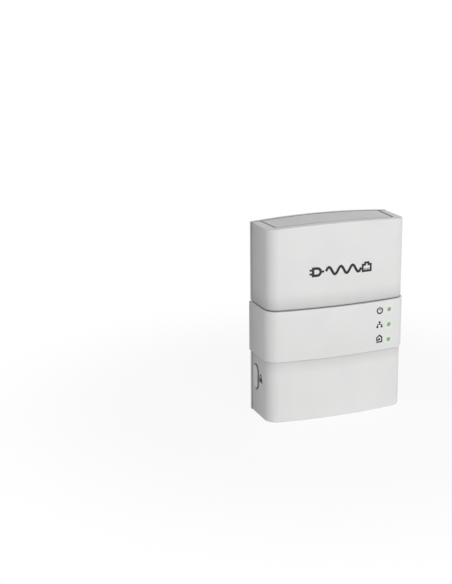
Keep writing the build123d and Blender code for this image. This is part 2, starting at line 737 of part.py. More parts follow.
with BuildPart() as bulk_capacitors:
    for can_at in BULK_AT:
        board_can(can_at, BULK_R, BULK_HIGH)
    fillet(bulk_capacitors.faces().group_by(Axis.Y)[0].edges(), radius=0.7)

# ---- switching transformer ----
with BuildPart() as flyback_bobbin:
    board_block(FLYBACK_AT, 13.0, 13.6, 1.4)
    board_block(FLYBACK_AT, 7.4, 7.4, 9.6)
    board_block(FLYBACK_AT, 10.8, 11.6, 1.0, foot=9.6)
    with Locations((FLYBACK_AT[0], BOARD_FRONT_Y, FLYBACK_AT[1])):
        Box(5.2, 30, 5.2, mode=Mode.SUBTRACT)

with BuildPart() as flyback_winding:
    board_block(FLYBACK_AT, 10.8, 10.8, 7.8, foot=1.6)
    fillet(flyback_winding.edges().filter_by(Axis.Y), radius=1.6)
    with Locations((FLYBACK_AT[0], BOARD_FRONT_Y, FLYBACK_AT[1])):
        Box(7.6, 30, 7.6, mode=Mode.SUBTRACT)

with BuildPart() as flyback_core:
    board_block(FLYBACK_AT, 4.8, 4.8, 11.4, foot=0.4)
    board_block(FLYBACK_AT, 14.2, 4.8, 1.8, foot=10.8)
    for side in (-1, 1):
        board_block((FLYBACK_AT[0] + side * 6.3, FLYBACK_AT[1]), 1.6, 4.8, 9.0, foot=1.8)

# ---- signal coupling transformer ----
with BuildPart() as coupling_transformer:
    board_block(COUPLING_AT, *COUPLING_SIZE)
    fillet(coupling_transformer.edges().filter_by(Axis.Y), radius=0.8)
    with Locations((COUPLING_AT[0], BOARD_FRONT_Y - COUPLING_SIZE[2], COUPLING_AT[1])):
        Box(COUPLING_SIZE[0], 1.2, 2.4, mode=Mode.SUBTRACT)

# ---- logic ----
with BuildPart() as main_chip:
    board_block(MAIN_CHIP_AT, MAIN_CHIP_WIDE, MAIN_CHIP_WIDE, MAIN_CHIP_HIGH)
    chamfer(main_chip.edges().filter_by(Axis.Y), length=0.3)

with BuildPart() as heat_spreader:
    board_block(MAIN_CHIP_AT, SPREADER_WIDE, SPREADER_WIDE, SPREADER_HIGH, foot=MAIN_CHIP_HIGH)
    with BuildSketch(Plane.XZ.offset(-BOARD_FRONT_Y + MAIN_CHIP_HIGH + SPREADER_BASE)):
        with Locations(MAIN_CHIP_AT):
            with GridLocations(SPREADER_PITCH, 1, SPREADER_SLOTS, 1):
                Rectangle(SPREADER_SLOT, SPREADER_WIDE)
    extrude(amount=SPREADER_HIGH, mode=Mode.SUBTRACT)


def flat_chip(at, wide, tall, lead_count):
    """A small chip with a row of leads along both long sides."""
    board_block(at, wide, tall, 0.9, foot=2 * SLIP)
    for side in (-1, 1):
        for lead in range(lead_count):
            lead_x = at[0] + (lead - (lead_count - 1) / 2) * wide / lead_count
            with Locations((lead_x, BOARD_FRONT_Y, at[1] + side * tall / 2)):
                Box(0.35, 0.55, 0.6, align=(Align.CENTER, Align.MAX, towards(side)))


with BuildPart() as memory_chip:
    flat_chip(MEMORY_AT, *MEMORY_SIZE, MEMORY_LEADS)

with BuildPart() as ethernet_chip:
    flat_chip(ETHERNET_CHIP_AT, *ETHERNET_CHIP_SIZE, ETHERNET_CHIP_LEADS)

with BuildPart() as crystal:
    can_long, can_wide, can_high = CRYSTAL_SIZE
    with BuildSketch(Plane.XZ.offset(-BOARD_FRONT_Y)):
        with Locations(CRYSTAL_AT):
            SlotOverall(can_long + 2 * CRYSTAL_BRIM, can_wide + 2 * CRYSTAL_BRIM, rotation=90)
    extrude(amount=CRYSTAL_BRIM)
    with BuildSketch(Plane.XZ.offset(-BOARD_FRONT_Y + CRYSTAL_BRIM)):
        with Locations(CRYSTAL_AT):
            SlotOverall(can_long, can_wide, rotation=90)
    extrude(amount=can_high)
    fillet(crystal.faces().sort_by(Axis.Y)[0].edges(), radius=0.5)

with BuildPart() as output_capacitors:
    for can_at in OUTPUT_AT:
        board_can(can_at, OUTPUT_R, OUTPUT_HIGH)
    fillet(output_capacitors.faces().group_by(Axis.Y)[0].edges(), radius=0.5)

with BuildPart() as power_inductor:
    board_block((INDUCTOR_X, BOARD_BOTTOM + INDUCTOR_RISE), *INDUCTOR_SIZE)
    chamfer(power_inductor.edges().filter_by(Axis.Y), length=0.9)

# ---- status lights ----
with BuildPart() as status_leds:
    for light_z in LIGHT_ZS:
        board_block((LIGHT_X, light_z), LED_WIDE, LED_TALL, LED_TALL)

with BuildPart() as light_pipe:
    belt_face = -DEPTH - BELT_PROUD + BULGE * (LIGHT_X / HALF) ** 2
    pipe_long = BOARD_FRONT_Y - belt_face - PIPE_FOOT - PIPE_SET_IN
    for light_z in LIGHT_ZS:
        board_can((LIGHT_X, light_z), LIGHT_R, pipe_long, foot=PIPE_FOOT)
    bridge_tall = (LIGHT_COUNT - 1) * LIGHT_PITCH + 4 * LIGHT_R
    bridge_z = (LIGHT_ZS[0] + LIGHT_ZS[-1]) / 2
    board_block((LIGHT_X, bridge_z), BRIDGE_WIDE, bridge_tall, BRIDGE_THICK, foot=BRIDGE_FOOT)

# ---- push button and its switch ----
with BuildPart() as pairing_button:
    with BuildSketch(Plane.YZ.offset(-HALF - BUTTON_PROUD)):
        with Locations((BUTTON_Y, BUTTON_Z)):
            SlotOverall(BUTTON_LONG, BUTTON_WIDE, rotation=90)
    extrude(amount=BUTTON_PROUD + HALF + BUTTON_INNER_X)
    fillet(pairing_button.faces().sort_by(Axis.X)[0].edges(), radius=BUTTON_ROUND)
    with BuildSketch(Plane.YZ.offset(BUTTON_INNER_X - BUTTON_FLANGE)):
        with Locations((BUTTON_Y, BUTTON_Z)):
            Rectangle(BUTTON_WIDE - 2.0, BUTTON_LONG + 2 * BUTTON_EAR)
    extrude(amount=BUTTON_FLANGE)

with BuildPart() as switch_body:
    with Locations((SWITCH_X, BOARD_FRONT_Y, BUTTON_Z)):
        Box(
            SWITCH_WIDE,
            SWITCH_HIGH,
            SWITCH_TALL,
            align=(Align.MIN, Align.MAX, Align.CENTER),
        )
    chamfer(switch_body.edges().filter_by(Axis.Y), length=0.3)
    with BuildSketch(Plane.YZ.offset(SWITCH_X)):
        with Locations((BUTTON_Y, BUTTON_Z)):
            Circle(SWITCH_BORE_R)
    extrude(amount=SWITCH_BORE, mode=Mode.SUBTRACT)

with BuildPart() as switch_plunger:
    with BuildSketch(Plane.YZ.offset(BUTTON_INNER_X)):
        with Locations((BUTTON_Y, BUTTON_Z)):
            Circle(PLUNGER_R)
    extrude(amount=SWITCH_X - BUTTON_INNER_X + SWITCH_BORE - BUTTON_TRAVEL - 0.2)

# ---- housing screws ----
with BuildPart() as housing_screws:
    for screw_x, screw_z in SCREW_SPOTS:
        with BuildSketch(Plane.XZ.offset(SCREW_SINK)):
            with Locations((screw_x, screw_z)):
                Circle(SCREW_HEAD_R)
        extrude(amount=SCREW_HEAD)
        with BuildSketch(Plane.XZ.offset(SCREW_SINK + SCREW_HEAD)):
            with Locations((screw_x, screw_z)):
                Circle(SCREW_R)
        extrude(amount=SCREW_LONG)
        for wide, tall in ((CROSS_LONG, CROSS_WIDE), (CROSS_WIDE, CROSS_LONG)):
            with Locations((screw_x, -SCREW_SINK, screw_z)):
                Box(wide, 2 * CROSS_DEEP, tall, mode=Mode.SUBTRACT)


PARTS = {
    "front_housing": front_housing,
    "middle_belt": middle_belt,
    "top_panel": top_panel,
    "rear_cover": rear_cover,
    "rating_label": rating_label,
    "contact_pins": contact_pins,
    "pin_leads": pin_leads,
    "earth_clips": earth_clips,
    "earth_sleeve": earth_sleeve,
    "main_board": main_board,
    "ethernet_jack": ethernet_jack,
    "jack_contacts": jack_contacts,
    "network_magnetics": network_magnetics,
    "fuse": fuse,
    "varistor": varistor,
    "x_capacitor": x_capacitor,
    "choke_core": choke_core,
    "choke_winding": choke_winding,
    "y_capacitor": y_capacitor,
    "bridge_rectifier": bridge_rectifier,
    "bulk_capacitors": bulk_capacitors,
    "flyback_bobbin": flyback_bobbin,
    "flyback_winding": flyback_winding,
    "flyback_core": flyback_core,
    "coupling_transformer": coupling_transformer,
    "main_chip": main_chip,
    "heat_spreader": heat_spreader,
    "memory_chip": memory_chip,
    "ethernet_chip": ethernet_chip,
    "crystal": crystal,
    "output_capacitors": output_capacitors,
    "power_inductor": power_inductor,
    "status_leds": status_leds,
    "light_pipe": light_pipe,
    "pairing_button": pairing_button,
    "switch_body": switch_body,
    "switch_plunger": switch_plunger,
    "housing_screws": housing_screws,
}

for name, builder in PARTS.items():
    builder.part.label = name
    export_step(builder.part, f"parts/{name}.step")
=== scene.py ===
"""Powerline adapter: finishes, belt, printed marks, small board parts, studio and camera.

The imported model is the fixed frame. Lengths here are metres; sizes written in millimetres are
turned into metres by mm().
"""

import logging
import math
from dataclasses import dataclass, field
from enum import Enum
from typing import Any, Callable, Iterable, Sequence

import bmesh
import bpy
from mathutils import Matrix, Vector

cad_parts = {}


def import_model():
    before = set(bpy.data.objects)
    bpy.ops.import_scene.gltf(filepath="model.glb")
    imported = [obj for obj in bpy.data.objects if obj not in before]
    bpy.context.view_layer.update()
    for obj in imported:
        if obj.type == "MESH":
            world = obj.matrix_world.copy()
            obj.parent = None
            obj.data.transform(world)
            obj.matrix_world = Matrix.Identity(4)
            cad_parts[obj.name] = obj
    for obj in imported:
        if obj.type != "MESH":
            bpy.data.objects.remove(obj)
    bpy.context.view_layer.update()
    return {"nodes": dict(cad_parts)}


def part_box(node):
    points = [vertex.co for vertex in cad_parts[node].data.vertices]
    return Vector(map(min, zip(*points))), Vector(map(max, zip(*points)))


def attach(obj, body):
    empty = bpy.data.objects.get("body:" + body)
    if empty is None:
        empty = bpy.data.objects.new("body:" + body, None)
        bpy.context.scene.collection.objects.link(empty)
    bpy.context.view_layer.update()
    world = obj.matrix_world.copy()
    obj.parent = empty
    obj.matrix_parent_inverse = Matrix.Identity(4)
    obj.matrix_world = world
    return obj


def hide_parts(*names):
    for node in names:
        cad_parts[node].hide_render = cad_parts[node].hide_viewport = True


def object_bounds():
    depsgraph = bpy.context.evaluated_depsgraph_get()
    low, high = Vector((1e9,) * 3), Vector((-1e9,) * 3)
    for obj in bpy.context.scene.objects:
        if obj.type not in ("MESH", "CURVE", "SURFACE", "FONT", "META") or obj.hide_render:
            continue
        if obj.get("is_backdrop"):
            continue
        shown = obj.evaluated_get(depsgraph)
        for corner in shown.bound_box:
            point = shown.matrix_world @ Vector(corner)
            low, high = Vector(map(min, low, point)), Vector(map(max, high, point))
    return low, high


log = logging.getLogger("adapter")

Point2 = tuple[float, float]
Colour = tuple[float, float, float]

MAIN_BODY = "adapter"


def mm(value: float) -> float:
    """Millimetres as metres."""
    return value / 1000.0


def toned(colour: Colour, share: float) -> Colour:
    """A colour with each part scaled by share."""
    return tuple(part * share for part in colour)


# ---- node trees ----


class Signal:
    """A number in a node tree; arithmetic on it adds Math nodes."""

    def __init__(self, tree: "Tree", socket: bpy.types.NodeSocket) -> None:
        """Wraps one output socket.

        Args:
            tree: The tree that the socket is in.
            socket: The output that carries the number.
        """
        self.tree = tree
        self.socket = socket

    def _math(self, operation: str, first: Any, second: Any = None) -> "Signal":
        """Adds one Math node.

        Args:
            operation: The node's operation.
            first: Its first value or signal.
            second: Its second value or signal, if it takes one.

        Returns:
            The node's result.
        """
        values = [first] if second is None else [first, second]
        node = self.tree.add("ShaderNodeMath", {"operation": operation}, dict(enumerate(values)))
        return Signal(self.tree, node.outputs[0])

    def __add__(self, other: Any) -> "Signal":
        """Sum."""
        return self._math("ADD", self, other)

    def __radd__(self, other: Any) -> "Signal":
        """Sum, from the right."""
        return self._math("ADD", other, self)

    def __sub__(self, other: Any) -> "Signal":
        """Difference."""
        return self._math("SUBTRACT", self, other)

    def __rsub__(self, other: Any) -> "Signal":
        """Difference, from the right."""
        return self._math("SUBTRACT", other, self)

    def __mul__(self, other: Any) -> "Signal":
        """Product."""
        return self._math("MULTIPLY", self, other)

    def __rmul__(self, other: Any) -> "Signal":
        """Product, from the right."""
        return self._math("MULTIPLY", other, self)

    def __truediv__(self, other: Any) -> "Signal":
        """Quotient."""
        return self._math("DIVIDE", self, other)

    def __rtruediv__(self, other: Any) -> "Signal":
        """Quotient, from the right."""
        return self._math("DIVIDE", other, self)

    def __pow__(self, other: Any) -> "Signal":
        """Power."""
        return self._math("POWER", self, other)

    def __rpow__(self, other: Any) -> "Signal":
        """Power, from the right."""
        return self._math("POWER", other, self)

    def __abs__(self) -> "Signal":
        """Size without its sign."""
        return self._math("ABSOLUTE", self)

    def smaller(self, other: Any) -> "Signal":
        """The smaller of two numbers."""
        return self._math("MINIMUM", self, other)

    def larger(self, other: Any) -> "Signal":
        """The larger of two numbers."""
        return self._math("MAXIMUM", self, other)

    def ripple(self, pitch: float) -> "Signal":
        """A sine that repeats once per pitch."""
        return self._math("SINE", self * (math.tau / pitch))

    def fall(self, start: float, end: float) -> "Signal":
        """1 up to start, falling softly to 0 at end."""
        return 1.0 - self.step(start, end)

    def step(self, start: float, end: float) -> "Signal":
        """A soft step.

        Args:
            start: Where the result leaves 0.
            end: Where the result reaches 1.

        Returns:
            The number mapped from 0 to 1 between start and end.
        """
        node = self.tree.add(
            "ShaderNodeMapRange",
            {"interpolation_type": "SMOOTHSTEP", "clamp": True},
            {"Value": self, "From Min": start, "From Max": end, "To Min": 0.0, "To Max": 1.0},
        )
        return Signal(self.tree, node.outputs[0])


Place = tuple[Signal, Signal, Signal]


class Tree:
    """Adds nodes to one node tree, shader or geometry."""

    def __init__(self, nodes_tree: bpy.types.NodeTree) -> None:
        """Wraps a tree.

        Args:
            nodes_tree: The tree to add to.
        """
        self.tree = nodes_tree

    def add(self, kind: str, settings: dict[str, Any] | None = None, inputs: dict | None = None) -> Any:
        """Adds a node.

        Args:
            kind: The node's type.
            settings: Its settings, set before its inputs. "stops" fills a colour ramp.
            inputs: Values, sockets, nodes or signals for its inputs, by name or number.

        Returns:
            The new node.
        """
        node = self.tree.nodes.new(kind)
        for name, value in (settings or {}).items():
            if name == "stops":
                self._fill_ramp(node.color_ramp, value)
            else:
                setattr(node, name, value)
        for key, value in (inputs or {}).items():
            self.feed(node.inputs[key], value)
        return node

    def feed(self, socket: bpy.types.NodeSocket, value: Any) -> None:
        """Sets or links one input.

        Args:
            socket: The input.
            value: A plain value, or a signal, node or socket to link from.
        """
        if isinstance(value, Signal):
            self.tree.links.new(value.socket, socket)
        elif isinstance(value, bpy.types.NodeSocket):
            self.tree.links.new(value, socket)
        elif isinstance(value, bpy.types.Node):
            self.tree.links.new(value.outputs[0], socket)
        else:
            socket.default_value = value

    @staticmethod
    def _fill_ramp(ramp: bpy.types.ColorRamp, stops: Sequence[tuple[float, Colour]]) -> None:
        """Writes a colour ramp's stops.

        Args:
            ramp: The ramp.
            stops: Places and colours.
        """
        while len(ramp.elements) < len(stops):
            ramp.elements.new(1.0)
        for element, (place, colour) in zip(ramp.elements, stops):
            element.position = place
            element.color = (*colour, 1.0)


class FinishTree(Tree):
    """A material's tree with the patterns that the finishes share."""

    def __init__(self, name: str) -> None:
        """Makes an empty material.

        Args:
            name: The material's name.
        """
        self.material = bpy.data.materials.new(name)
        self.material.use_nodes = True
        super().__init__(self.material.node_tree)
        self.tree.nodes.clear()
        self.place = self.add("ShaderNodeTexCoord").outputs["Object"]

    def axes(self) -> Place:
        """The place's x, y and z."""
        parts = self.add("ShaderNodeSeparateXYZ", None, {0: self.place})
        return tuple(Signal(self, output) for output in parts.outputs)

    def noise(self, size: float, detail: float = 2.0, stretch: Colour = (1.0, 1.0, 1.0)) -> Signal:
        """Soft noise.

        Args:
            size: Its features' size in metres.
            detail: How many finer layers it has.
            stretch: How much closer the features are along each axis.

        Returns:
            The noise, about 0 to 1.
        """
        scaled = self.add("ShaderNodeVectorMath", {"operation": "MULTIPLY"}, {0: self.place, 1: stretch})
        node = self.add(
            "ShaderNodeTexNoise", None, {"Vector": scaled, "Scale": 1.0 / size, "Detail": detail}
        )
        return Signal(self, node.outputs[0])

    def cells(self, size: float) -> Signal:
        """Distance to the nearest of scattered points.

        Args:
            size: How far apart the points are, in metres.

        Returns:
            The distance, in cells.
        """
        node = self.add("ShaderNodeTexVoronoi", None, {"Vector": self.place, "Scale": 1.0 / size})
        return Signal(self, node.outputs["Distance"])

    def blend(self, mask: Any, low: Any, high: Any) -> Any:
        """Mixes two colours.

        Args:
            mask: 0 for the first colour, 1 for the second.
            low: The first colour.
            high: The second colour.

        Returns:
            The colour's socket.
        """
        node = self.add("ShaderNodeMix", {"data_type": "RGBA", "clamp_factor": True})
        self.feed(node.inputs["Factor"], mask)
        for socket_name, colour in (("A", low), ("B", high)):
            socket = [s for s in node.inputs if s.name == socket_name and s.type == "RGBA"][0]
            self.feed(socket, (*colour, 1.0) if isinstance(colour, tuple) else colour)
        return [s for s in node.outputs if s.type == "RGBA"][0]

    def bump(self, height: Signal, depth: float) -> Any:
        """A bump from a height.

        Args:
            height: The height, 0 to 1.
            depth: The height's full size in metres.

        Returns:
            The normal's socket.
        """
        inputs = {"Height": height, "Distance": depth, "Strength": 1.0}
        return self.add("ShaderNodeBump", None, inputs).outputs[0]

    def surface(self, tone: Any, rough: Any, normal: Any, others: dict[str, Any]) -> bpy.types.Material:
        """Ends the tree in a Principled shader.

        Args:
            tone: The colour.
            rough: The roughness.
            normal: The normal.
            others: Its other inputs, by name.

        Returns:
            The finished material.
        """
        inputs = {**others, "Base Color": tone, "Roughness": rough, "Normal": normal}
        shader = self.add("ShaderNodeBsdfPrincipled", None, inputs)
        self.add("ShaderNodeOutputMaterial", None, {"Surface": shader})
        return self.material


# ---- finishes ----


@dataclass(frozen=True)
class ShadeBand:
    """Painted shade beside the belt's edges: the tone falls off towards a level."""

    level: float
    reach: float
    depth: float
    falloff: float = 1.6

    def mask(self, place: Place) -> Signal:
        """Where the band lies.

        Args:
            place: x, y and z.

        Returns:
            0 outside the band, rising to its depth at its level.
        """
        near = 1.0 - (abs(place[2] - self.level) / self.reach).smaller(1.0)
        return (near**self.falloff) * self.depth


@dataclass(frozen=True)
class PlaneSeamShade:
    """Painted shade along an open line in one plane, where a gap between parts lies."""

    axis: int
    level: float
    half_wide: float
    depth: float

    def mask(self, place: Place) -> Signal:
        """Where the line is dark.

        Args:
            place: x, y and z.

        Returns:
            0 away from the line, its depth in it.
        """
        away = abs(place[self.axis] - self.level)
        return away.fall(self.half_wide * 0.5, self.half_wide) * self.depth


@dataclass(frozen=True)
class SlotSeamShade:
    """Painted shade in a line around the button in the left side, fainter on its back half."""

    centre_y: float
    centre_z: float
    straight_half: float
    radius: float
    half_wide: float
    inside_x: float
    depth: float = 0.95
    blend_y: float = mm(1.2)
    back_loss: float = 0.7
    inside_soft: float = mm(0.5)

    def mask(self, place: Place) -> Signal:
        """Where the line is dark.

        Args:
            place: x, y and z.

        Returns:
            0 away from the line, its depth in it.
        """
        x, y, z = place
        along = (abs(z - self.centre_z) - self.straight_half).larger(0.0)
        across = y - self.centre_y
        away = abs((along**2.0 + across**2.0) ** 0.5 - self.radius)
        line = away.fall(self.half_wide * 0.55, self.half_wide)
        towards_front = 1.0 - across.step(-self.blend_y, self.blend_y) * self.back_loss
        outside = x.fall(self.inside_x, self.inside_x + self.inside_soft)
        return line * towards_front * outside * self.depth


@dataclass(frozen=True)
class PanelSeamShade:
    """Painted shade in lines along the front and the sides of the top panel."""

    front_y: float
    bulge: float
    body_half: float
    half_front: float
    half_back: float
    back_y: float
    floor_z: float
    side_half_wide: float = mm(0.62)
    front_half_wide: float = mm(0.58)
    side_depth: float = 1.0
    front_depth: float = 0.92
    end_soft: float = mm(0.2)
    arc_soft: float = mm(0.3)

    def mask(self, place: Place) -> Signal:
        """Where the lines are dark.

        Args:
            place: x, y and z.

        Returns:
            0 away from the lines, their depth in them.
        """
        x, y, z = place
        arc = (x / self.body_half) ** 2.0 * self.bulge + self.front_y
        lean = (self.half_back - self.half_front) / (self.back_y - self.front_y)
        side = (y - self.front_y) * lean + self.half_front
        past_side = abs(x) - side
        off_front = abs(y - arc)
        front = off_front.fall(self.front_half_wide * 0.4, self.front_half_wide)
        front = front * past_side.fall(0.0, self.end_soft)
        flank = abs(past_side).fall(self.side_half_wide * 0.5, self.side_half_wide)
        flank = flank * (y - arc).step(-self.arc_soft, 0.0)
        top = z.step(self.floor_z, self.floor_z + self.end_soft)
        return (front * self.front_depth).larger(flank * self.side_depth) * top


@dataclass(frozen=True)
class FlankShade:
    """Painted shade on the sides, darker towards the wall."""

    side_x: float
    front_y: float
    back_y: float
    depth: float = 0.3
    side_soft: float = mm(0.3)

    def mask(self, place: Place) -> Signal:
        """How much painted shade the side gets.

        Args:
            place: x, y and z.

        Returns:
            0 on the front, rising to its depth at the back of the sides.
        """
        x, y, _ = place
        back = ((y - self.front_y) / (self.back_y - self.front_y)).larger(0.0).smaller(1.0)
        return back * abs(x).step(self.side_x - self.side_soft, self.side_x) * self.depth


@dataclass(frozen=True)
class MouldedPlastic:
    """Fine-grained satin moulding with faint mottling and polish from handling, plus painted shade and a
    painted green glow round the lights.
    """

    name: str
    colour: Colour
    roughness: float = 0.42
    grain: float = mm(0.22)
    grain_depth: float = mm(0.006)
    mottle_size: float = mm(14)
    mottle_tone: float = 0.972
    speck_spacing: float = mm(1.6)
    speck_tone: float = 0.7
    speck_share: float = 0.2
    handled_size: float = mm(9)
    shades: tuple[Any, ...] = ()
    shade_tone: float = 0.15
    flank_shade: tuple[FlankShade, ...] = ()
    flank_shade_colour: Colour = (0.0, 0.012, 0.018)
    glow_spots: tuple[Point2, ...] = ()
    glow_radius: float = mm(2.5)
    glow_colour: Colour = (0.77, 0.92, 0.7)
    glow_depth: float = 0.46

    def make(self) -> bpy.types.Material:
        """Builds the material.

        Returns:
            The material.
        """
        tree = FinishTree(self.name)
        place = tree.axes()
        x, _, z = place
        mottling = tree.noise(self.mottle_size, 3.0).step(0.32, 0.72)
        tone = tree.blend(mottling, toned(self.colour, self.mottle_tone), self.colour)
        scattered = (1.0 - tree.cells(self.speck_spacing)).step(0.93, 0.99)
        specks = scattered * tree.noise(mm(4)).step(0.55, 0.7)
        tone = tree.blend(specks * self.speck_share, tone, toned(self.colour, self.speck_tone))
        # Painted shade on the sides, blended towards a dark colour towards the back.
        for flank_shade in self.flank_shade:
            tone = tree.blend(flank_shade.mask(place), tone, self.flank_shade_colour)
        # Painted shade: darker bands beside the belt and dark lines along the seams, blended into the
        # colour.
        for shade in self.shades:
            tone = tree.blend(shade.mask(place), tone, toned(self.colour, self.shade_tone))
        # Painted light: a green glow from the status lights blended into the colour round each light.
        for spot_x, spot_z in self.glow_spots:
            away = ((x - spot_x) ** 2.0 + (z - spot_z) ** 2.0) ** 0.5
            ring = away.fall(self.glow_radius * 0.55, self.glow_radius)
            tone = tree.blend(ring * self.glow_depth, tone, self.glow_colour)
        handled = tree.noise(self.handled_size, 4.0).step(0.4, 0.75)
        rough = self.roughness + handled * 0.07 - tree.noise(mm(0.6), 2.0) * 0.04
        height = tree.noise(self.grain, 3.0) * 0.7 + tree.cells(self.grain * 1.7) * 0.3
        normal = tree.bump(height, self.grain_depth)
        return tree.surface(tone, rough, normal, {"Specular IOR Level": 0.42})


@dataclass(frozen=True)
class BareMetal:
    """Plated or raw metal with directional scratches and dull patches."""

    name: str
    colour: Colour
    roughness: float = 0.22
    along: Colour = (1.0, 0.04, 1.0)
    scratch_size: float = mm(0.12)
    scratch_depth: float = mm(0.0015)
    patch_size: float = mm(4.5)
    tarnish: float = 0.3
    dull_tone: float = 0.82
    dull_shift: float = 0.06

    def make(self) -> bpy.types.Material:
        """Builds the material.

        Returns:
            The material.
        """
        tree = FinishTree(self.name)
        scratches = tree.noise(self.scratch_size, 4.0, self.along)
        patches = tree.noise(self.patch_size, 2.0).step(0.42, 0.68)
        shares = [self.dull_tone - self.dull_shift * index for index in range(3)]
        dull = tuple(part * share for part, share in zip(self.colour, shares))
        tone = tree.blend(patches * self.tarnish, self.colour, dull)
        rough = self.roughness + scratches * 0.1 + patches * 0.07
        normal = tree.bump(scratches, self.scratch_depth)
        return tree.surface(tone, rough, normal, {"Metallic": 1.0})


@dataclass(frozen=True)
class CircuitMask:
    """Green solder mask over straight traces, copper pours and vias, on a woven glass grain."""

    name: str
    colour: Colour = (0.02, 0.12, 0.06)
    trace_colour: Colour = (0.035, 0.19, 0.09)
    via_colour: Colour = (0.42, 0.42, 0.38)
    stain_colour: Colour = (0.03, 0.09, 0.05)
    trace_pitch: float = mm(1.5)
    block_size: float = mm(10)
    pour_size: float = mm(13)
    via_spacing: float = mm(3.4)
    weave_pitch: float = mm(0.5)
    relief: float = mm(0.03)

    def make(self) -> bpy.types.Material:
        """Builds the material.

        Returns:
            The material.
        """
        tree = FinishTree(self.name)
        x, _, z = tree.axes()
        level_run = z.ripple(self.trace_pitch).step(0.55, 0.7)
        upright_run = x.ripple(self.trace_pitch).step(0.55, 0.7)
        turned = tree.noise(self.block_size, 1.0).step(0.5, 0.505)
        poured = tree.noise(self.pour_size, 0.0, (1.0, 1.0, 1.4)).step(0.55, 0.555)
        runs = level_run * turned + upright_run * (1.0 - turned)
        traces = runs.larger(poured)
        vias = tree.cells(self.via_spacing).fall(0.09, 0.11)
        weave = (x.ripple(self.weave_pitch) * z.ripple(self.weave_pitch)) * 0.5 + 0.5
        tone = tree.blend(traces, self.colour, self.trace_colour)
        tone = tree.blend(tree.noise(mm(6)).step(0.4, 0.7) * 0.3, tone, self.stain_colour)
        tone = tree.blend(vias, tone, self.via_colour)
        height = traces.larger(vias) * 0.8 + weave * 0.2
        normal = tree.bump(height, self.relief)
        coat = {"Coat Weight": 0.3, "Coat Roughness": 0.15}
        return tree.surface(tone, 0.3 + weave * 0.08, normal, coat)


class Wrap(Enum):
    """How a wound or sleeved part is banded."""

    PLAIN = "plain"
    STRIPE = "stripe"
    TURNS = "turns"


@dataclass(frozen=True)
class PartCoating:
    """Dipped, moulded, taped or sleeved coating of a board part."""

    name: str
    colour: Colour
    roughness: float = 0.35
    wrap: Wrap = Wrap.PLAIN
    second: Colour = (0.0, 0.0, 0.0)
    pitch: float = mm(0.6)
    coat: float = 0.0
    mottle_size: float = mm(1.3)
    relief: float = mm(0.03)

    def make(self) -> bpy.types.Material:
        """Builds the material.

        Returns:
            The material.
        """
        tree = FinishTree(self.name)
        x, y, z = tree.axes()
        mottled = tree.noise(self.mottle_size, 4.0).step(0.35, 0.7)
        tone = tree.blend(mottled * 0.35, self.colour, toned(self.colour, 0.7))
        height = tree.noise(mm(0.18), 3.0) * 0.6
        if self.wrap is Wrap.STRIPE:
            ridge = (x + z).ripple(self.pitch * 8).step(0.75, 0.85)
            tone = tree.blend(ridge, tone, self.second)
        if self.wrap is Wrap.TURNS:
            ridge = y.ripple(self.pitch) * 0.5 + 0.5
            tone = tree.blend(ridge * 0.6, tone, self.second)
            height = height * 0.3 + ridge * 0.7
        normal = tree.bump(height, self.relief)
        coat = {"Coat Weight": self.coat, "Coat Roughness": 0.12}
        return tree.surface(tone, self.roughness + mottled * 0.12, normal, coat)


@dataclass(frozen=True)
class BlankLabel:
    """Silvery label film, blank but for faint ruled boxes."""

    name: str
    colour: Colour = (0.56, 0.57, 0.58)
    dark: Colour = (0.44, 0.45, 0.46)
    rule_colour: Colour = (0.2, 0.2, 0.21)
    rule_pitch: float = mm(3.4)

    def make(self) -> bpy.types.Material:
        """Builds the material.

        Returns:
            The material.
        """
        tree = FinishTree(self.name)
        _, _, z = tree.axes()
        rules = z.ripple(self.rule_pitch).step(0.96, 0.99)
        brushed = tree.noise(mm(0.15), 3.0, (0.05, 1.0, 1.0))
        tone = tree.blend(brushed * 0.4, self.colour, self.dark)
        tone = tree.blend(rules * 0.55, tone, self.rule_colour)
        normal = tree.bump(brushed, mm(0.004))
        return tree.surface(tone, 0.3 + brushed * 0.15, normal, {"Metallic": 0.35})


@dataclass(frozen=True)
class LitPipe:
    """Milky light pipe that shows a green lamp behind it."""

    name: str
    colour: Colour = (0.27, 0.34, 0.23)
    glow: Colour = (0.22, 0.42, 0.17)
    strength: float = 0.14
    cloud_size: float = mm(0.5)

    def make(self) -> bpy.types.Material:
        """Builds the material.

        Returns:
            The material.
        """
        tree = FinishTree(self.name)
        cloud = tree.noise(self.cloud_size, 3.0).step(0.3, 0.7)
        tone = tree.blend(cloud * 0.4, self.colour, toned(self.colour, 0.75))
        glow = tree.blend(cloud, self.glow, toned(self.glow, 0.8))
        lit = {"Emission Color": glow, "Emission Strength": self.strength, "Coat Weight": 0.3}
        return tree.surface(tone, 0.24 + cloud * 0.1, tree.bump(cloud, mm(0.01)), lit)


@dataclass(frozen=True)
class PadInk:
    """Matt printing ink with slightly broken edges."""

    name: str
    colour: Colour = (0.022, 0.024, 0.027)
    wear_size: float = mm(0.25)
    worn_tone: float = 2.2

    def make(self) -> bpy.types.Material:
        """Builds the material.

        Returns:
            The material.
        """
        tree = FinishTree(self.name)
        wear = tree.noise(self.wear_size, 4.0).step(0.55, 0.8)
        tone = tree.blend(wear * 0.3, self.colour, toned(self.colour, self.worn_tone))
        normal = tree.bump(wear, mm(0.004))
        return tree.surface(tone, 0.5 + wear * 0.2, normal, {"Specular IOR Level": 0.3})


# ---- shapes ----


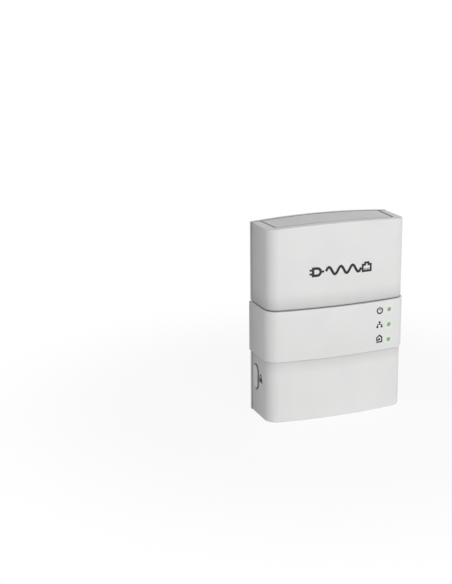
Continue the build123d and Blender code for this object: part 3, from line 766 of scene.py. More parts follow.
@dataclass(frozen=True)
class BodyShape:
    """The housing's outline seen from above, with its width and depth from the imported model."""

    half: float
    front_y: float
    bulge: float = mm(2.6)
    corner: float = mm(5.3)
    corner_steps: int = 14
    front_steps: int = 36

    @classmethod
    def from_frame(cls) -> "BodyShape":
        """Reads the housing's width and depth."""
        low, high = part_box("front_housing")
        return cls(half=(high.x - low.x) / 2, front_y=low.y)

    def front(self, x: float, proud: float = 0.0) -> float:
        """The front surface's y.

        Args:
            x: Place across the front.
            proud: How far outside the housing's surface.

        Returns:
            The surface's y at x.
        """
        return self.front_y - proud + self.bulge * (x / self.half) ** 2

    def outline(self, proud: float, back_y: float) -> list[Point2]:
        """The outline from the back left, round the front, to the back right.

        Args:
            proud: How far outside the housing's surface; less than 0 is inside.
            back_y: Where the sides end.

        Returns:
            Points in order.
        """
        half = self.half + proud
        radius = self.corner + proud
        arc_radius = (half**2 + self.bulge**2) / (2 * self.bulge)
        arc_centre = self.front_y - proud + arc_radius
        centre_x = half - radius
        centre_y = arc_centre - math.sqrt((arc_radius - radius) ** 2 - centre_x**2)
        meet = math.atan2(centre_x, arc_centre - centre_y)
        right: list[Point2] = [(half, back_y)]
        for step in range(self.corner_steps + 1):
            angle = (math.pi / 2 - meet) * step / self.corner_steps
            right.append((centre_x + radius * math.cos(angle), centre_y - radius * math.sin(angle)))
        turns = [meet * (1 - 2 * step / self.front_steps) for step in range(1, self.front_steps)]
        front = [(arc_radius * math.sin(t), arc_centre - arc_radius * math.cos(t)) for t in turns]
        left = [(-x, y) for x, y in reversed(right)]
        return [(x, y) for x, y in reversed(right + front + left)]


def mesh_object(name: str, mesh: bpy.types.Mesh, finish: bpy.types.Material) -> bpy.types.Object:
    """Puts a mesh in the scene.

    Args:
        name: The piece's name.
        mesh: Its mesh, in place.
        finish: Its material.

    Returns:
        The object.
    """
    mesh.name = name
    if not mesh.materials:
        mesh.materials.append(finish)
    piece = bpy.data.objects.new(name, mesh)
    bpy.context.scene.collection.objects.link(piece)
    return piece


def smooth(mesh: bpy.types.Mesh, angle: float = 35.0) -> None:
    """Shades a mesh smoothly, but for its sharp edges.

    Args:
        mesh: The mesh.
        angle: Edges that turn by more than this many degrees stay sharp.
    """
    mesh.polygons.foreach_set("use_smooth", [True] * len(mesh.polygons))
    mesh.set_sharp_from_angle(angle=math.radians(angle))
    mesh.update()


class GeometryRecipe(Tree):
    """A Geometry Nodes tree that turns one object's geometry into a finished plain mesh."""

    def __init__(self, name: str, finish: bpy.types.Material) -> None:
        """Starts a tree with a geometry input and output.

        Args:
            name: The tree's name.
            finish: The material that the result gets.
        """
        group = bpy.data.node_groups.new(name, "GeometryNodeTree")
        super().__init__(group)
        self.name = name
        self.finish = finish
        self.sizes: dict[str, Any] = {}
        group.interface.new_socket("Geometry", in_out="INPUT", socket_type="NodeSocketGeometry")
        group.interface.new_socket("Geometry", in_out="OUTPUT", socket_type="NodeSocketGeometry")
        self.start = self.add("NodeGroupInput")

    def size(self, name: str, value: float) -> bpy.types.NodeSocket:
        """Adds a named number input.

        Args:
            name: The input's name.
            value: Its value for this object.

        Returns:
            The socket inside the tree that carries it.
        """
        self.tree.interface.new_socket(name, in_out="INPUT", socket_type="NodeSocketFloat")
        self.sizes[name] = value
        return self.start.outputs[name]

    def finish_tree(self, geometry: Any) -> None:
        """Ends the tree with Realize Instances and Set Material.

        Args:
            geometry: The node or socket that holds the result.
        """
        realized = self.add("GeometryNodeRealizeInstances", None, {0: geometry})
        dressed = self.add(
            "GeometryNodeSetMaterial", None, {"Geometry": realized, "Material": self.finish}
        )
        self.add("NodeGroupOutput", None, {0: dressed})

    def repeat(self, piece: Any) -> None:
        """Puts one piece on each of the source's points and ends the tree.

        Args:
            piece: The node that makes the piece.
        """
        inputs = {"Points": self.start.outputs[0], "Instance": piece}
        self.finish_tree(self.add("GeometryNodeInstanceOnPoints", None, inputs))

    def run(self, source: bpy.types.ID, name: str, angle: float = 35.0) -> bpy.types.Object:
        """Runs the tree on a mesh or curve and keeps the plain result.

        Args:
            source: The mesh or curve data that the tree works on.
            name: The finished piece's name.
            angle: Edges that turn by more than this many degrees stay sharp.

        Returns:
            The finished piece.
        """
        carrier = bpy.data.objects.new(name + "_source", source)
        bpy.context.scene.collection.objects.link(carrier)
        modifier = carrier.modifiers.new(self.name, "NODES")
        modifier.node_group = self.tree
        for item in self.tree.interface.items_tree:
            if item.in_out == "INPUT" and item.name in self.sizes:
                modifier[item.identifier] = self.sizes[item.name]
        graph = bpy.context.evaluated_depsgraph_get()
        graph.update()
        made = bpy.data.meshes.new_from_object(carrier.evaluated_get(graph), depsgraph=graph)
        carrier.modifiers.remove(modifier)
        bpy.data.objects.remove(carrier)
        smooth(made, angle)
        return mesh_object(name, made, self.finish)


def point_mesh(name: str, places: Iterable[Sequence[float]]) -> bpy.types.Mesh:
    """A mesh of loose points.

    Args:
        name: The mesh's name.
        places: The points.

    Returns:
        The mesh.
    """
    mesh = bpy.data.meshes.new(name)
    mesh.from_pydata([tuple(place) for place in places], [], [])
    return mesh


def path_curve(name: str, places: Sequence[Sequence[float]]) -> bpy.types.Curve:
    """A curve of straight runs through points.

    Args:
        name: The curve's name.
        places: The points, in order.

    Returns:
        The curve.
    """
    curve = bpy.data.curves.new(name, "CURVE")
    curve.dimensions = "3D"
    spline = curve.splines.new("POLY")
    spline.points.add(len(places) - 1)
    for point, place in zip(spline.points, places):
        point.co = (*place, 1.0)
    return curve


# ---- printed marks ----


@dataclass(frozen=True)
class Stroke:
    """A drawn line of one width, in millimetres."""

    points: tuple[Point2, ...]
    width: float
    closed: bool = False


@dataclass(frozen=True)
class Dot:
    """A filled round spot, in millimetres."""

    centre: Point2
    radius: float


def arc_points(centre: Point2, radius: float, start: float, end: float, steps: int = 20) -> list[Point2]:
    """Points on an arc.

    Args:
        centre: The arc's centre.
        radius: Its radius.
        start: First angle in degrees, from the right, turning left.
        end: Last angle in degrees.
        steps: How many steps to take.

    Returns:
        The points.
    """
    angles = [math.radians(start + (end - start) * step / steps) for step in range(steps + 1)]
    return [(centre[0] + radius * math.cos(a), centre[1] + radius * math.sin(a)) for a in angles]


def on_front(shape: BodyShape, centre: Point2, proud: float = 0.0) -> Callable[..., Vector]:
    """Makes a function that lays a mark on the front.

    Args:
        shape: The body's outline.
        centre: The mark's x and z.
        proud: How far outside the housing its surface is.

    Returns:
        A function from across, up and lift to a point.
    """

    def place(u: float, v: float, lift: float) -> Vector:
        """A point on the front."""
        x = centre[0] + u
        return Vector((x, shape.front(x, proud) - lift, centre[1] + v))

    return place


@dataclass
class PrintedMark:
    """Ink laid on a surface: strokes and dots mapped by a placing function."""

    name: str
    shapes: list[Any]
    place: Callable[[float, float, float], Vector]
    thickness: float = mm(0.03)
    widest_turn: float = 0.4
    dot_sides: int = 24

    def _stroke(self, ink: bmesh.types.BMesh, stroke: Stroke) -> None:
        """Adds one stroke as a raised ribbon.

        Args:
            ink: The mesh under construction.
            stroke: The stroke.
        """
        points = [Vector(p) for p in stroke.points]
        count = len(points)
        sides: list[tuple[Vector, Vector]] = []
        for index, point in enumerate(points):
            before = points[index - 1] if index or stroke.closed else point
            after = points[(index + 1) % count] if index < count - 1 or stroke.closed else point
            first = (point - before).normalized() if point != before else None
            second = (after - point).normalized() if after != point else None
            direction = ((first or second) + (second or first)).normalized()
            across = Vector((-direction.y, direction.x))
            other = first or second
            meeting = abs(across.dot(Vector((-other.y, other.x))))
            reach = across * stroke.width / 2 * (1.0 / max(self.widest_turn, meeting))
            sides.append((point + reach, point - reach))
        pairs = list(zip(sides, sides[1:] + sides[:1] if stroke.closed else sides[1:]))
        for (left_a, right_a), (left_b, right_b) in pairs:
            self._prism(ink, [right_a, right_b, left_b, left_a])

    def _prism(self, ink: bmesh.types.BMesh, outline: Sequence[Vector]) -> None:
        """Adds a thin raised polygon.

        Args:
            ink: The mesh under construction.
            outline: Its corners in millimetres, turning left.
        """
        top = [ink.verts.new(self.place(mm(p.x), mm(p.y), self.thickness)) for p in outline]
        foot = [ink.verts.new(self.place(mm(p.x), mm(p.y), 0.0)) for p in outline]
        ink.faces.new(top)
        ink.faces.new(list(reversed(foot)))
        for index in range(len(top)):
            after = (index + 1) % len(top)
            ink.faces.new([foot[index], foot[after], top[after], top[index]])

    def build(self, finish: bpy.types.Material, body: str = MAIN_BODY) -> None:
        """Makes the mark.

        Args:
            finish: The ink's material.
            body: The body that it rides on.
        """
        ink = bmesh.new()
        for shape in self.shapes:
            if isinstance(shape, Stroke):
                self._stroke(ink, shape)
            else:
                last = 360 - 360 / self.dot_sides
                ring = arc_points(shape.centre, shape.radius, 0, last, self.dot_sides - 1)
                self._prism(ink, [Vector(p) for p in ring])
        bmesh.ops.recalc_face_normals(ink, faces=ink.faces)
        mesh = bpy.data.meshes.new(self.name)
        ink.to_mesh(mesh)
        ink.free()
        piece = mesh_object(self.name, mesh, finish)
        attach(piece, body)


# ---- studio ----


@dataclass
class SoftLamp:
    """A large square lamp."""

    name: str
    place: Colour
    side: float
    power: float
    target: Colour = (0.0, 0.0, 0.0)

    def build(self) -> None:
        """Adds the lamp."""
        lamp = bpy.data.lights.new(self.name, "AREA")
        lamp.shape = "SQUARE"
        lamp.size = self.side
        lamp.energy = self.power
        holder = bpy.data.objects.new(self.name, lamp)
        holder.location = self.place
        towards = Vector(self.target) - Vector(self.place)
        holder.rotation_euler = towards.to_track_quat("-Z", "Y").to_euler()
        bpy.context.scene.collection.objects.link(holder)


@dataclass
class Studio:
    """Pale floor, even surroundings, lamps and camera; its lens and sensor are in millimetres."""

    ambient: float = 0.34
    floor_drop: float = mm(0.2)
    shadow_reach: float = mm(170)
    floor_half: float = 3.0
    paper_tone: float = 0.86
    shadow_share: float = 0.1
    focal_length: float = 73.534932
    sensor: float = 36.0
    clip: Point2 = (0.01, 20.0)
    camera_place: Colour = (mm(-207.15), mm(-448.17), mm(125.09))
    yaw: float = 0.3534
    pitch: float = 0.2731
    roll: float = -0.011
    lamps: list[SoftLamp] = field(default_factory=list)

    def _direct_view(self, tree: Tree) -> Signal:
        """Tells direct looks from soft light.

        Args:
            tree: The tree to add to.

        Returns:
            1 where a ray comes from the camera, a reflection or through glass.
        """
        path = tree.add("ShaderNodeLightPath")
        seen = Signal(tree, path.outputs["Is Camera Ray"])
        for ray in ("Is Glossy Ray", "Is Transmission Ray"):
            seen = seen.larger(Signal(tree, path.outputs[ray]))
        return seen

    def _surroundings(self) -> None:
        """Makes the world: white to look at, softer as a light."""
        world = bpy.data.worlds.new("surroundings")
        world.use_nodes = True
        world.node_tree.nodes.clear()
        tree = Tree(world.node_tree)
        seen = self._direct_view(tree)
        strength = self.ambient + seen * (1.0 - self.ambient)
        sky = tree.add("ShaderNodeBackground", None, {"Color": (1, 1, 1, 1), "Strength": strength})
        tree.add("ShaderNodeOutputWorld", None, {"Surface": sky})
        bpy.context.scene.world = world

    def _floor(self) -> None:
        """Makes the pale floor below the object."""
        low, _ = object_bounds()
        mesh = bpy.data.meshes.new("floor")
        reach = self.floor_half
        level = low.z - self.floor_drop
        corners = [(-reach, -reach), (reach, -reach), (reach, reach), (-reach, reach)]
        mesh.from_pydata([(x, y, level) for x, y in corners], [], [(0, 1, 2, 3)])
        tree = FinishTree("floor_paper")
        tone = (self.paper_tone,) * 3
        paper = tree.add("ShaderNodeBsdfDiffuse", None, {"Color": (*tone, 1.0)})
        white = tree.add("ShaderNodeEmission", None, {"Color": (1, 1, 1, 1), "Strength": 1.0})
        x, y, _ = tree.axes()
        across = (x**2.0 + y**2.0) ** 0.5
        far = across.step(self.shadow_reach * 0.4, self.shadow_reach)
        whiter = far * self.shadow_share + (1.0 - self.shadow_share)
        mask = self._direct_view(tree) * whiter
        both = tree.add("ShaderNodeMixShader", None, {0: mask, 1: paper, 2: white})
        tree.add("ShaderNodeOutputMaterial", None, {"Surface": both})
        floor = mesh_object("floor", mesh, tree.material)
        floor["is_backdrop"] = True

    def _camera(self) -> None:
        """Places the camera."""
        forward = Vector(
            (
                math.sin(self.yaw) * math.cos(self.pitch),
                math.cos(self.yaw) * math.cos(self.pitch),
                -math.sin(self.pitch),
            )
        )
        right = Vector((math.cos(self.yaw), -math.sin(self.yaw), 0.0))
        up = right.cross(forward)
        turn, tilt = math.cos(self.roll), math.sin(self.roll)
        right, up = right * turn + up * tilt, up * turn - right * tilt
        lens = bpy.data.cameras.new("camera")
        lens.sensor_width = self.sensor
        lens.lens = self.focal_length
        lens.clip_start, lens.clip_end = self.clip
        camera = bpy.data.objects.new("camera", lens)
        turned = Matrix((right, up, -forward)).transposed().to_4x4()
        camera.matrix_world = Matrix.Translation(self.camera_place) @ turned
        bpy.context.scene.collection.objects.link(camera)
        bpy.context.scene.camera = camera

    def build(self) -> None:
        """Builds the studio."""
        self._surroundings()
        self._floor()
        for lamp in self.lamps:
            lamp.build()
        self._camera()
        bpy.context.scene.view_settings.view_transform = "Standard"


# ---- the adapter's own pieces ----


@dataclass
class StatusLights:
    """The column of three lights in the belt, with their pictograms."""

    icon_shift: float = mm(-4.65)
    lens_radius: float = mm(0.85)
    icon_lifts: tuple[float, ...] = (mm(0.15), mm(0.5), mm(0.9))
    stroke: float = 0.6
    led_half_tall: float = mm(0.4)
    dome_height: float = 0.22
    lens_sink: float = mm(0.1)

    def spots(self) -> list[Point2]:
        """Places of the lights across the front and in height.

        Returns:
            x and z of each light, from the top down.
        """
        low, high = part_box("status_leds")
        x = (low.x + high.x) / 2
        top, bottom = high.z - self.led_half_tall, low.z + self.led_half_tall
        return [(x, top + (bottom - top) * row / 2) for row in range(3)]

    def _power(self) -> list[Any]:
        """Ring with a gap and a bar: power.

        Returns:
            The strokes and dots.
        """
        ring = arc_points((0, -0.15), 1.25, 118, 422, 26)
        return [
            Stroke(tuple(ring), self.stroke),
            Stroke(((0, 1.5), (0, 0.05)), self.stroke * 0.9),
        ]

    def _network(self) -> list[Any]:
        """One node above three others: network.

        Returns:
            The strokes and dots.
        """
        half, rise, dot = 1.05, 0.95, 0.52
        bar = ((-half, -rise), (-half, 0.0), (half, 0.0), (half, -rise))
        dots = [Dot(centre, dot) for centre in ((0.0, rise), (-half, -rise), (half, -rise))]
        thin = self.stroke * 0.55
        return [*dots, Stroke(((0.0, rise), (0.0, 0.0)), thin), Stroke(bar, thin)]

    def _house(self) -> list[Any]:
        """A house outline with a lead and a spot: home socket.

        Returns:
            The strokes and dots.
        """
        outline = (
            (-1.4, -1.45),
            (1.25, -1.45),
            (1.25, 0.5),
            (0.1, 1.45),
            (-1.2, 0.55),
            (-1.2, -0.6),
            (-0.4, -0.6),
        )
        return [Stroke(outline, self.stroke), Dot((0.05, -0.25), 0.5)]

    def build(
        self, shape: BodyShape, proud: float, ink: bpy.types.Material, lens: bpy.types.Material
    ) -> None:
        """Adds the pictograms and the lenses.

        Args:
            shape: The body's outline.
            proud: How far the belt stands out.
            ink: The ink's material.
            lens: The lenses' material.
        """
        names = ("power_icon", "network_icon", "house_icon")
        drawings = (self._power(), self._network(), self._house())
        for name, drawing, rise, (x, z) in zip(names, drawings, self.icon_lifts, self.spots()):
            centre = (x + self.icon_shift, z + rise)
            PrintedMark(name, drawing, on_front(shape, centre, proud)).build(ink)
        self._lenses(shape, proud, lens)

    def _lenses(self, shape: BodyShape, proud: float, finish: bpy.types.Material) -> None:
        """Repeats one low dome over the ends of the light pipes.

        Args:
            shape: The body's outline.
            proud: How far the belt stands out.
            finish: The lenses' material.
        """
        recipe = GeometryRecipe("lens_row", finish)
        radius = recipe.size("Lens radius", self.lens_radius)
        flatten = recipe.size("Dome height", self.dome_height)
        dome = recipe.add(
            "GeometryNodeMeshUVSphere", None, {"Segments": 24, "Rings": 12, "Radius": radius}
        )
        scale = recipe.add("ShaderNodeCombineXYZ", None, {"X": 1.0, "Y": flatten, "Z": 1.0})
        low_dome = recipe.add("GeometryNodeTransform", None, {"Geometry": dome, "Scale": scale})
        recipe.repeat(low_dome)
        places = [(x, shape.front(x, proud) + self.lens_sink, z) for x, z in self.spots()]
        piece = recipe.run(point_mesh("lens_places", places), "status_lenses", angle=60)
        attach(piece, MAIN_BODY)


@dataclass
class Belt:
    """The proud band round the front and both sides, swept along the body's outline."""

    sink: float = mm(0.85)
    round_low: float = mm(0.45)
    light_clear: float = mm(0.1)
    cutter_long: float = mm(8)

    def proud(self, shape: BodyShape) -> float:
        """How far the belt stands out of the housing."""
        low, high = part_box("middle_belt")
        return (high.x - low.x) / 2 - shape.half

    def build(self, shape: BodyShape, lights: StatusLights, finish: bpy.types.Material) -> None:
        """Sweeps the belt and cuts the holes of the lights.

        Args:
            shape: The body's outline.
            lights: The lights that show through it.
            finish: Its material.
        """
        low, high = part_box("middle_belt")
        proud = self.proud(shape)
        thick = proud + self.sink
        middle = (proud - self.sink) / 2
        recipe = GeometryRecipe("belt_sweep", finish)
        wide = recipe.size("Band thickness", thick)
        tall = recipe.size("Band height", high.z - low.z)
        edge = recipe.size("Edge round", self.round_low)
        hole = recipe.size("Light hole", lights.lens_radius + self.light_clear)
        section = recipe.add("GeometryNodeCurvePrimitiveQuadrilateral", None, {0: wide, 1: tall})
        rounded = recipe.add(
            "GeometryNodeFilletCurve", {"mode": "POLY"}, {"Curve": section, "Count": 4, "Radius": edge}
        )
        upright = recipe.add(
            "GeometryNodeSetCurveNormal", {"mode": "Z_UP"}, {"Curve": recipe.start.outputs[0]}
        )
        swept = recipe.add(
            "GeometryNodeCurveToMesh", None, {"Curve": upright, "Profile Curve": rounded, "Fill Caps": True}
        )
        cutter = recipe.add(
            "GeometryNodeMeshCylinder",
            None,
            {"Vertices": 28, "Radius": hole, "Depth": self.cutter_long},
        )
        turned = recipe.add(
            "GeometryNodeTransform", None, {"Geometry": cutter, "Rotation": (math.pi / 2, 0.0, 0.0)}
        )
        previous: Any = swept
        for x, z in lights.spots():
            moved = recipe.add(
                "GeometryNodeTransform",
                None,
                {"Geometry": turned, "Translation": (x, shape.front(x, proud), z)},
            )
            cut = recipe.add("GeometryNodeMeshBoolean", {"operation": "DIFFERENCE", "solver": "EXACT"})
            recipe.feed(cut.inputs["Mesh 1"], previous.outputs[0])
            recipe.feed(cut.inputs["Mesh 2"], moved)
            previous = cut
        recipe.finish_tree(previous)
        level = (low.z + high.z) / 2
        path = [(x, y, level) for x, y in shape.outline(middle, high.y)]
        piece = recipe.run(path_curve("belt_path", path), "belt_band", angle=30)
        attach(piece, MAIN_BODY)
        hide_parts("middle_belt")


@dataclass
class FrontMark:
    """A generic printed strip on the upper front: plug, wave and network socket."""

    centre: Point2 = (mm(0.0), mm(2.0))
    stroke: float = 1.1
    tooth: float = 0.32
    plug_x: float = -10.6
    wave_x: float = -6.6
    wave_long: float = 16.0
    wave_high: float = 1.55
    waves: int = 3
    socket_x: float = 12.0

    def _plug(self, x: float) -> list[Any]:
        """A two-pin plug seen from the side.

        Args:
            x: Its middle.

        Returns:
            The strokes.
        """
        body = [(x - 1.6, 1.5), (x + 0.2, 1.5)]
        nose = arc_points((x + 0.2, 0.0), 1.5, 90, -90, 14)
        outline = (*body, *nose[1:], (x - 1.6, -1.5))
        pins = [Stroke(((x - 3.1, z), (x - 1.6, z)), self.stroke * 0.8) for z in (-0.8, 0.8)]
        tail = Stroke(((x + 1.6, 0.0), (x + 3.2, 0.0)), self.stroke * 0.8)
        return [Stroke(outline, self.stroke, True), *pins, tail]

    def _wave(self, start: float, length: float) -> list[Any]:
        """The waves of a carried signal.

        Args:
            start: Where the wave starts.
            length: How long it is.

        Returns:
            The stroke.
        """
        steps = 20 * self.waves
        points = [
            (
                start + length * step / steps,
                self.wave_high * math.sin(math.tau * self.waves * step / steps),
            )
            for step in range(steps + 1)
        ]
        return [Stroke(tuple(points), self.stroke)]

    def _socket(self, x: float) -> list[Any]:
        """A network socket seen from its mouth.

        Args:
            x: Its middle.

        Returns:
            The strokes.
        """
        outline = (
            (x - 1.9, -1.7),
            (x + 1.9, -1.7),
            (x + 1.9, 1.0),
            (x + 0.8, 1.0),
            (x + 0.8, 1.8),
            (x - 0.8, 1.8),
            (x - 0.8, 1.0),
            (x - 1.9, 1.0),
        )
        places = (-1.05, -0.35, 0.35, 1.05)
        teeth = [Stroke(((x + at, -1.5), (x + at, -0.6)), self.tooth) for at in places]
        return [Stroke(outline, self.stroke * 0.8, True), *teeth]

    def build(self, shape: BodyShape, ink: bpy.types.Material) -> None:
        """Prints the strip.

        Args:
            shape: The body's outline.
            ink: The ink's material.
        """
        drawing = [
            *self._plug(self.plug_x),
            *self._wave(self.wave_x, self.wave_long),
            *self._socket(self.socket_x),
        ]
        PrintedMark("front_mark", drawing, on_front(shape, self.centre)).build(ink)


@dataclass
class SideMark:
    """The small padlock printed in front of the button."""

    centre_y: float = mm(-11.5)
    drop: float = mm(0.6)

    def build(self, shape: BodyShape, ink: bpy.types.Material) -> None:
        """Prints the padlock on the left side.

        Args:
            shape: The body's outline.
            ink: The ink's material.
        """
        low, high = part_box("pairing_button")
        level = (low.z + high.z) / 2 + self.drop

        def on_side(u: float, v: float, lift: float) -> Vector:
            """A point on the left side; u runs from the back to the front."""
            return Vector((-shape.half - lift, self.centre_y - u, level + v))

        case = Stroke(((-1.6, -0.75), (1.6, -0.75)), 1.9)
        loop = arc_points((0, 0.65), 0.9, 180, 0, 12)
        shackle = Stroke(((-0.9, 0.0), *loop, (0.9, 0.0)), 0.62)
        PrintedMark("lock_icon", [case, shackle], on_side).build(ink)


@dataclass
class BoardTrim:
    """Small parts and solder joints on the circuit board."""

    columns: int = 5
    rows: int = 4
    pitch: float = mm(2.1)
    corner_x: float = mm(-20.0)
    foot: float = mm(6.0)
    chip_wide: float = mm(0.7)
    chip_high: float = mm(0.6)
    chip_long: float = mm(1.4)
    joint_radius: float = mm(0.7)
    joint_tip: float = mm(0.2)
    joint_high: float = mm(0.55)
    lead_reach: float = 0.3
    soldered: tuple[str, ...] = (
        "x_capacitor",
        "fuse",
        "varistor",
        "y_capacitor",
        "flyback_core",
        "bridge_rectifier",
    )

    def build(self, chip_finish: bpy.types.Material, solder: bpy.types.Material) -> None:
        """Adds rows of chip capacitors and the solder joints on the back.

        Args:
            chip_finish: The small parts' material.
            solder: The solder's material.
        """
        self._chips(chip_finish)
        self._joints(solder)

    def _chips(self, finish: bpy.types.Material) -> None:
        """Adds the rows of chip capacitors on the front of the board.

        Args:
            finish: The small parts' material.
        """
        low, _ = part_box("main_board")
        chips = GeometryRecipe("chip_row", finish)
        long = chips.size("Part length", self.chip_long)
        body = chips.add("GeometryNodeMeshCube")
        side = chips.add(
            "ShaderNodeCombineXYZ", None, {"X": self.chip_wide, "Y": self.chip_high, "Z": long}
        )
        chips.feed(body.inputs["Size"], side)
        chips.repeat(body)
        corner_z = low.z + self.foot
        level = low.y - self.chip_high / 2
        places = [
            (self.corner_x + column * self.pitch, level, corner_z + line * self.pitch)
            for column in range(self.columns)
            for line in range(self.rows)
        ]
        piece = chips.run(point_mesh("chip_places", places), "chip_parts", angle=30)
        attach(piece, MAIN_BODY)

    def _joints(self, finish: bpy.types.Material) -> None:
        """Adds the solder joints on the back of the board.

        Args:
            finish: The solder's material.
        """
        _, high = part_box("main_board")
        joints = GeometryRecipe("solder_joints", finish)
        foot = joints.size("Joint radius", self.joint_radius)
        cone = joints.add(
            "GeometryNodeMeshCone",
            None,
            {
                "Vertices": 14,
                "Radius Bottom": foot,
                "Radius Top": self.joint_tip,
                "Depth": self.joint_high,
            },
        )
        turned = joints.add(
            "GeometryNodeTransform", None, {"Geometry": cone, "Rotation": (-math.pi / 2, 0.0, 0.0)}
        )
        joints.repeat(turned)
        leads: list[Colour] = []
        for node in self.soldered:
            part_low, part_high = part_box(node)
            middle = (part_low + part_high) / 2
            reach = (part_high.x - part_low.x) * self.lead_reach
            leads += [(middle.x + s * reach, high.y, middle.z) for s in (-1, 1)]
        piece = joints.run(point_mesh("joint_places", leads), "solder_joints", angle=40)
        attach(piece, MAIN_BODY)


@dataclass(frozen=True)
class CasingFinishes:
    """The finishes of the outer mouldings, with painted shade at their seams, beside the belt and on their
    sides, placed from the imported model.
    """

    shape: BodyShape
    light_spots: tuple[Point2, ...]
    belt_proud: float
    white: Colour = (0.78, 0.78, 0.775)
    # The top panel is the housing's white plastic; its darker tone is painted shade on the top.
    panel_white: Colour = (0.735, 0.735, 0.732)
    cover_white: Colour = (0.75, 0.75, 0.745)
    button_white: Colour = (0.72, 0.73, 0.73)
    parting_sink: float = mm(0.1)
    parting_half: float = mm(0.65)
    parting_depth: float = 0.7
    panel_taper: float = mm(0.8)
    panel_rim_low: float = mm(0.4)
    button_long: float = mm(10.4)
    button_wide: float = mm(5.4)
    button_line: float = mm(0.25)
    button_line_half: float = mm(0.6)
    belt_line_rise: float = mm(0.3)
    belt_line_half: float = mm(0.5)
    belt_line_depth: float = 0.59
    shade_above: float = mm(8.0)
    shade_above_depth: float = 0.33
    shade_below: float = mm(6.0)
    shade_below_depth: float = 0.2
    button_inside: float = mm(0.2)
    flank_start: float = mm(6.0)

    def _parting_shade(self) -> PlaneSeamShade:
        """Painted shade along the line between the housing and the rear cover."""
        _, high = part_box("front_housing")
        return PlaneSeamShade(1, high.y - self.parting_sink, self.parting_half, self.parting_depth)

    def _panel_seam_shade(self) -> PanelSeamShade:
        """Painted shade along the lines round the top panel.

        Returns:
            The seam, placed on the panel.
        """
        low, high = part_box("top_panel")
        return PanelSeamShade(
            front_y=low.y,
            bulge=self.shape.bulge,
            body_half=self.shape.half,
            half_front=high.x - self.panel_taper,
            half_back=high.x,
            back_y=high.y,
            floor_z=low.z - self.panel_rim_low,
        )

    def _button_seam_shade(self) -> SlotSeamShade:
        """Painted shade along the line round the button.

        Returns:
            The seam, placed on the button.
        """
        low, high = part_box("pairing_button")
        return SlotSeamShade(
            centre_y=(low.y + high.y) / 2,
            centre_z=(low.z + high.z) / 2,
            straight_half=(self.button_long - self.button_wide) / 2,
            radius=self.button_wide / 2 + self.button_line,
            half_wide=self.button_line_half,
            inside_x=-self.shape.half + self.button_inside,
        )

    def _flank_shade(self, proud: float) -> FlankShade:
        """The painted shade on a moulding's sides, darker towards the back.

        Args:
            proud: How far the moulding stands out of the housing.

        Returns:
            The painted side shade.
        """
        low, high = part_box("front_housing")
        return FlankShade(self.shape.half + proud, low.y + self.flank_start, high.y)

    def plan(self) -> dict[str, Any]:
        """The finish of each outer moulding.

        Returns:
            Finishes by node.
        """
        belt_low, belt_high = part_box("middle_belt")
        belt_line = belt_high.z + self.belt_line_rise
        parting_shade, panel_seam_shade, button_seam_shade = self._parting_shade(), self._panel_seam_shade(), self._button_seam_shade()
        # Painted shade above and below the belt, along the belt's top gap, round the panel, along the
        # parting line and round the button.
        housing_shades = (
            ShadeBand(belt_high.z, self.shade_above, self.shade_above_depth),
            ShadeBand(belt_low.z, self.shade_below, self.shade_below_depth),
            PlaneSeamShade(2, belt_line, self.belt_line_half, self.belt_line_depth),
            panel_seam_shade,
            parting_shade,
            button_seam_shade,
        )
        return {
            "front_housing": MouldedPlastic(
                "housing_white", self.white, shades=housing_shades, flank_shade=(self._flank_shade(0.0),)
            ),
            "middle_belt": MouldedPlastic(
                "belt_white",
                self.white,
                glow_spots=self.light_spots,
                flank_shade=(self._flank_shade(self.belt_proud),),
            ),
            "top_panel": MouldedPlastic("panel_white", self.panel_white, shades=(panel_seam_shade, parting_shade)),
            "rear_cover": MouldedPlastic("cover_white", self.cover_white, shades=(parting_shade,)),
            "pairing_button": MouldedPlastic(
                "button_white", self.button_white, roughness=0.36, shades=(button_seam_shade,)
            ),
        }


def plug_plan() -> dict[str, Any]:
    """The finishes of the plug, the label and the screws.

    Returns:
        Finishes by node.
    """
    earth = BareMetal("earth_nickel", (0.56, 0.545, 0.51), 0.28)
    return {
        "rating_label": BlankLabel("label_film"),
        "contact_pins": BareMetal("pin_nickel", (0.58, 0.565, 0.535), 0.14),
        "pin_leads": BareMetal("tinned_copper", (0.7, 0.58, 0.48), 0.3),
        "earth_clips": earth,
        "earth_sleeve": earth,
        "housing_screws": BareMetal("screw_steel", (0.55, 0.55, 0.55), 0.32, (1.0, 1.0, 0.06)),
    }


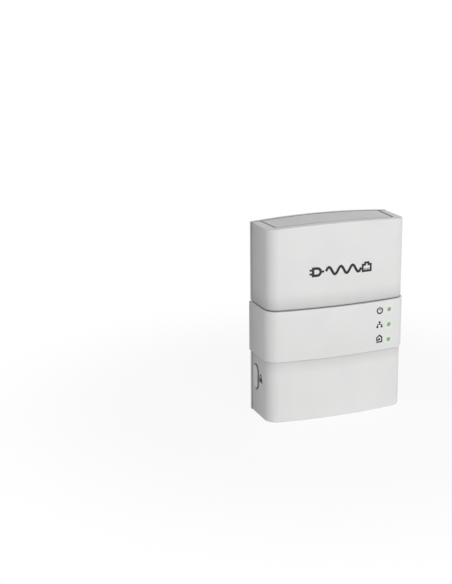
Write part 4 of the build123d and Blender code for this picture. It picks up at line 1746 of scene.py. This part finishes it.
def board_plan() -> dict[str, Any]:
    """The finishes of the circuit board and its parts.

    Returns:
        Finishes by node.
    """
    chip = MouldedPlastic("chip_black", (0.028, 0.028, 0.03), roughness=0.5, grain=mm(0.1))
    module = MouldedPlastic("module_black", (0.035, 0.036, 0.04), roughness=0.45)
    ferrite = PartCoating("ferrite_grey", (0.05, 0.05, 0.053), 0.6)
    sleeve = PartCoating(
        "can_sleeve", (0.03, 0.03, 0.05), 0.3, Wrap.STRIPE, (0.5, 0.5, 0.52), coat=0.4
    )
    copper = PartCoating(
        "enamel_copper", (0.4, 0.12, 0.04), 0.25, Wrap.TURNS, (0.6, 0.24, 0.1), coat=0.6
    )
    tape = PartCoating(
        "tape_yellow", (0.66, 0.48, 0.08), 0.3, Wrap.TURNS, (0.5, 0.34, 0.05), mm(1.9), 0.3
    )
    spreader = BareMetal("spreader_aluminium", (0.62, 0.63, 0.65), 0.35, (1.0, 1.0, 0.05))
    return {
        "main_board": CircuitMask("board_green"),
        "ethernet_jack": MouldedPlastic("jack_black", (0.03, 0.03, 0.033), roughness=0.4),
        "jack_contacts": BareMetal("contact_gold", (0.83, 0.6, 0.25), 0.18, (1.0, 1.0, 0.05)),
        "network_magnetics": module,
        "fuse": PartCoating("fuse_brown", (0.06, 0.025, 0.015), 0.4),
        "varistor": PartCoating("varistor_blue", (0.02, 0.08, 0.25), 0.25, coat=0.5),
        "x_capacitor": PartCoating("film_yellow", (0.6, 0.42, 0.04), 0.4),
        "choke_core": ferrite,
        "choke_winding": copper,
        "y_capacitor": PartCoating("disc_blue", (0.02, 0.1, 0.32), 0.25, coat=0.5),
        "bridge_rectifier": chip,
        "bulk_capacitors": sleeve,
        "flyback_bobbin": MouldedPlastic("bobbin_black", (0.03, 0.03, 0.03)),
        "flyback_winding": tape,
        "flyback_core": ferrite,
        "coupling_transformer": module,
        "main_chip": chip,
        "heat_spreader": spreader,
        "memory_chip": chip,
        "ethernet_chip": chip,
        "crystal": BareMetal("crystal_steel", (0.6, 0.6, 0.6), 0.25, (0.1, 1.0, 1.0)),
        "output_capacitors": sleeve,
        "power_inductor": ferrite,
        "status_leds": LitPipe("led_green", (0.3, 0.5, 0.25), (0.2, 0.7, 0.15), 0.6),
        "light_pipe": LitPipe("pipe_green"),
        "switch_body": chip,
        "switch_plunger": chip,
    }


@dataclass
class AdapterFinishes:
    """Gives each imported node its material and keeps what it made."""

    made: dict[str, bpy.types.Material] = field(default_factory=dict)

    def dress(self, nodes: dict[str, bpy.types.Object], plan: dict[str, Any]) -> None:
        """Puts each finish on its nodes.

        Args:
            nodes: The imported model's objects by node.
            plan: The finish of each node.
        """
        for node, finish in plan.items():
            if finish.name not in self.made:
                self.made[finish.name] = finish.make()
            piece = nodes[node]
            if not piece.material_slots:
                piece.data.materials.append(None)
            for slot in piece.material_slots:
                slot.material = self.made[finish.name]
            log.info("finish %s on %s", finish.name, node)


def main() -> None:
    """Loads the frame, builds each class in order and sets the studio."""
    logging.basicConfig(level=logging.INFO, format="%(name)s: %(message)s")
    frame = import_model()
    shape = BodyShape.from_frame()
    lights = StatusLights()
    belt = Belt()
    proud = belt.proud(shape)

    finishes = AdapterFinishes()
    finishes.dress(frame["nodes"], CasingFinishes(shape, tuple(lights.spots()), proud).plan())
    finishes.dress(frame["nodes"], plug_plan())
    finishes.dress(frame["nodes"], board_plan())

    ink = PadInk("pad_ink").make()
    belt.build(shape, lights, finishes.made["belt_white"])
    log.info("belt built")
    lights.build(shape, proud, ink, finishes.made["pipe_green"])
    log.info("status lights built")
    FrontMark().build(shape, ink)
    log.info("front mark built")
    SideMark().build(shape, ink)
    log.info("side mark built")
    BoardTrim().build(finishes.made["module_black"], finishes.made["earth_nickel"])
    log.info("board trim built")

    Studio(
        lamps=[
            SoftLamp("front_lamp", (0.0, -1.16, 0.35), side=0.9, power=8.5),
            SoftLamp("right_lamp", (1.1, -0.45, 0.3), side=0.5, power=1.5),
            SoftLamp("top_lamp", (0.1, -0.1, 1.1), side=0.8, power=0.5),
        ]
    ).build()
    log.info("studio built")


if __name__ == "__main__":
    main()
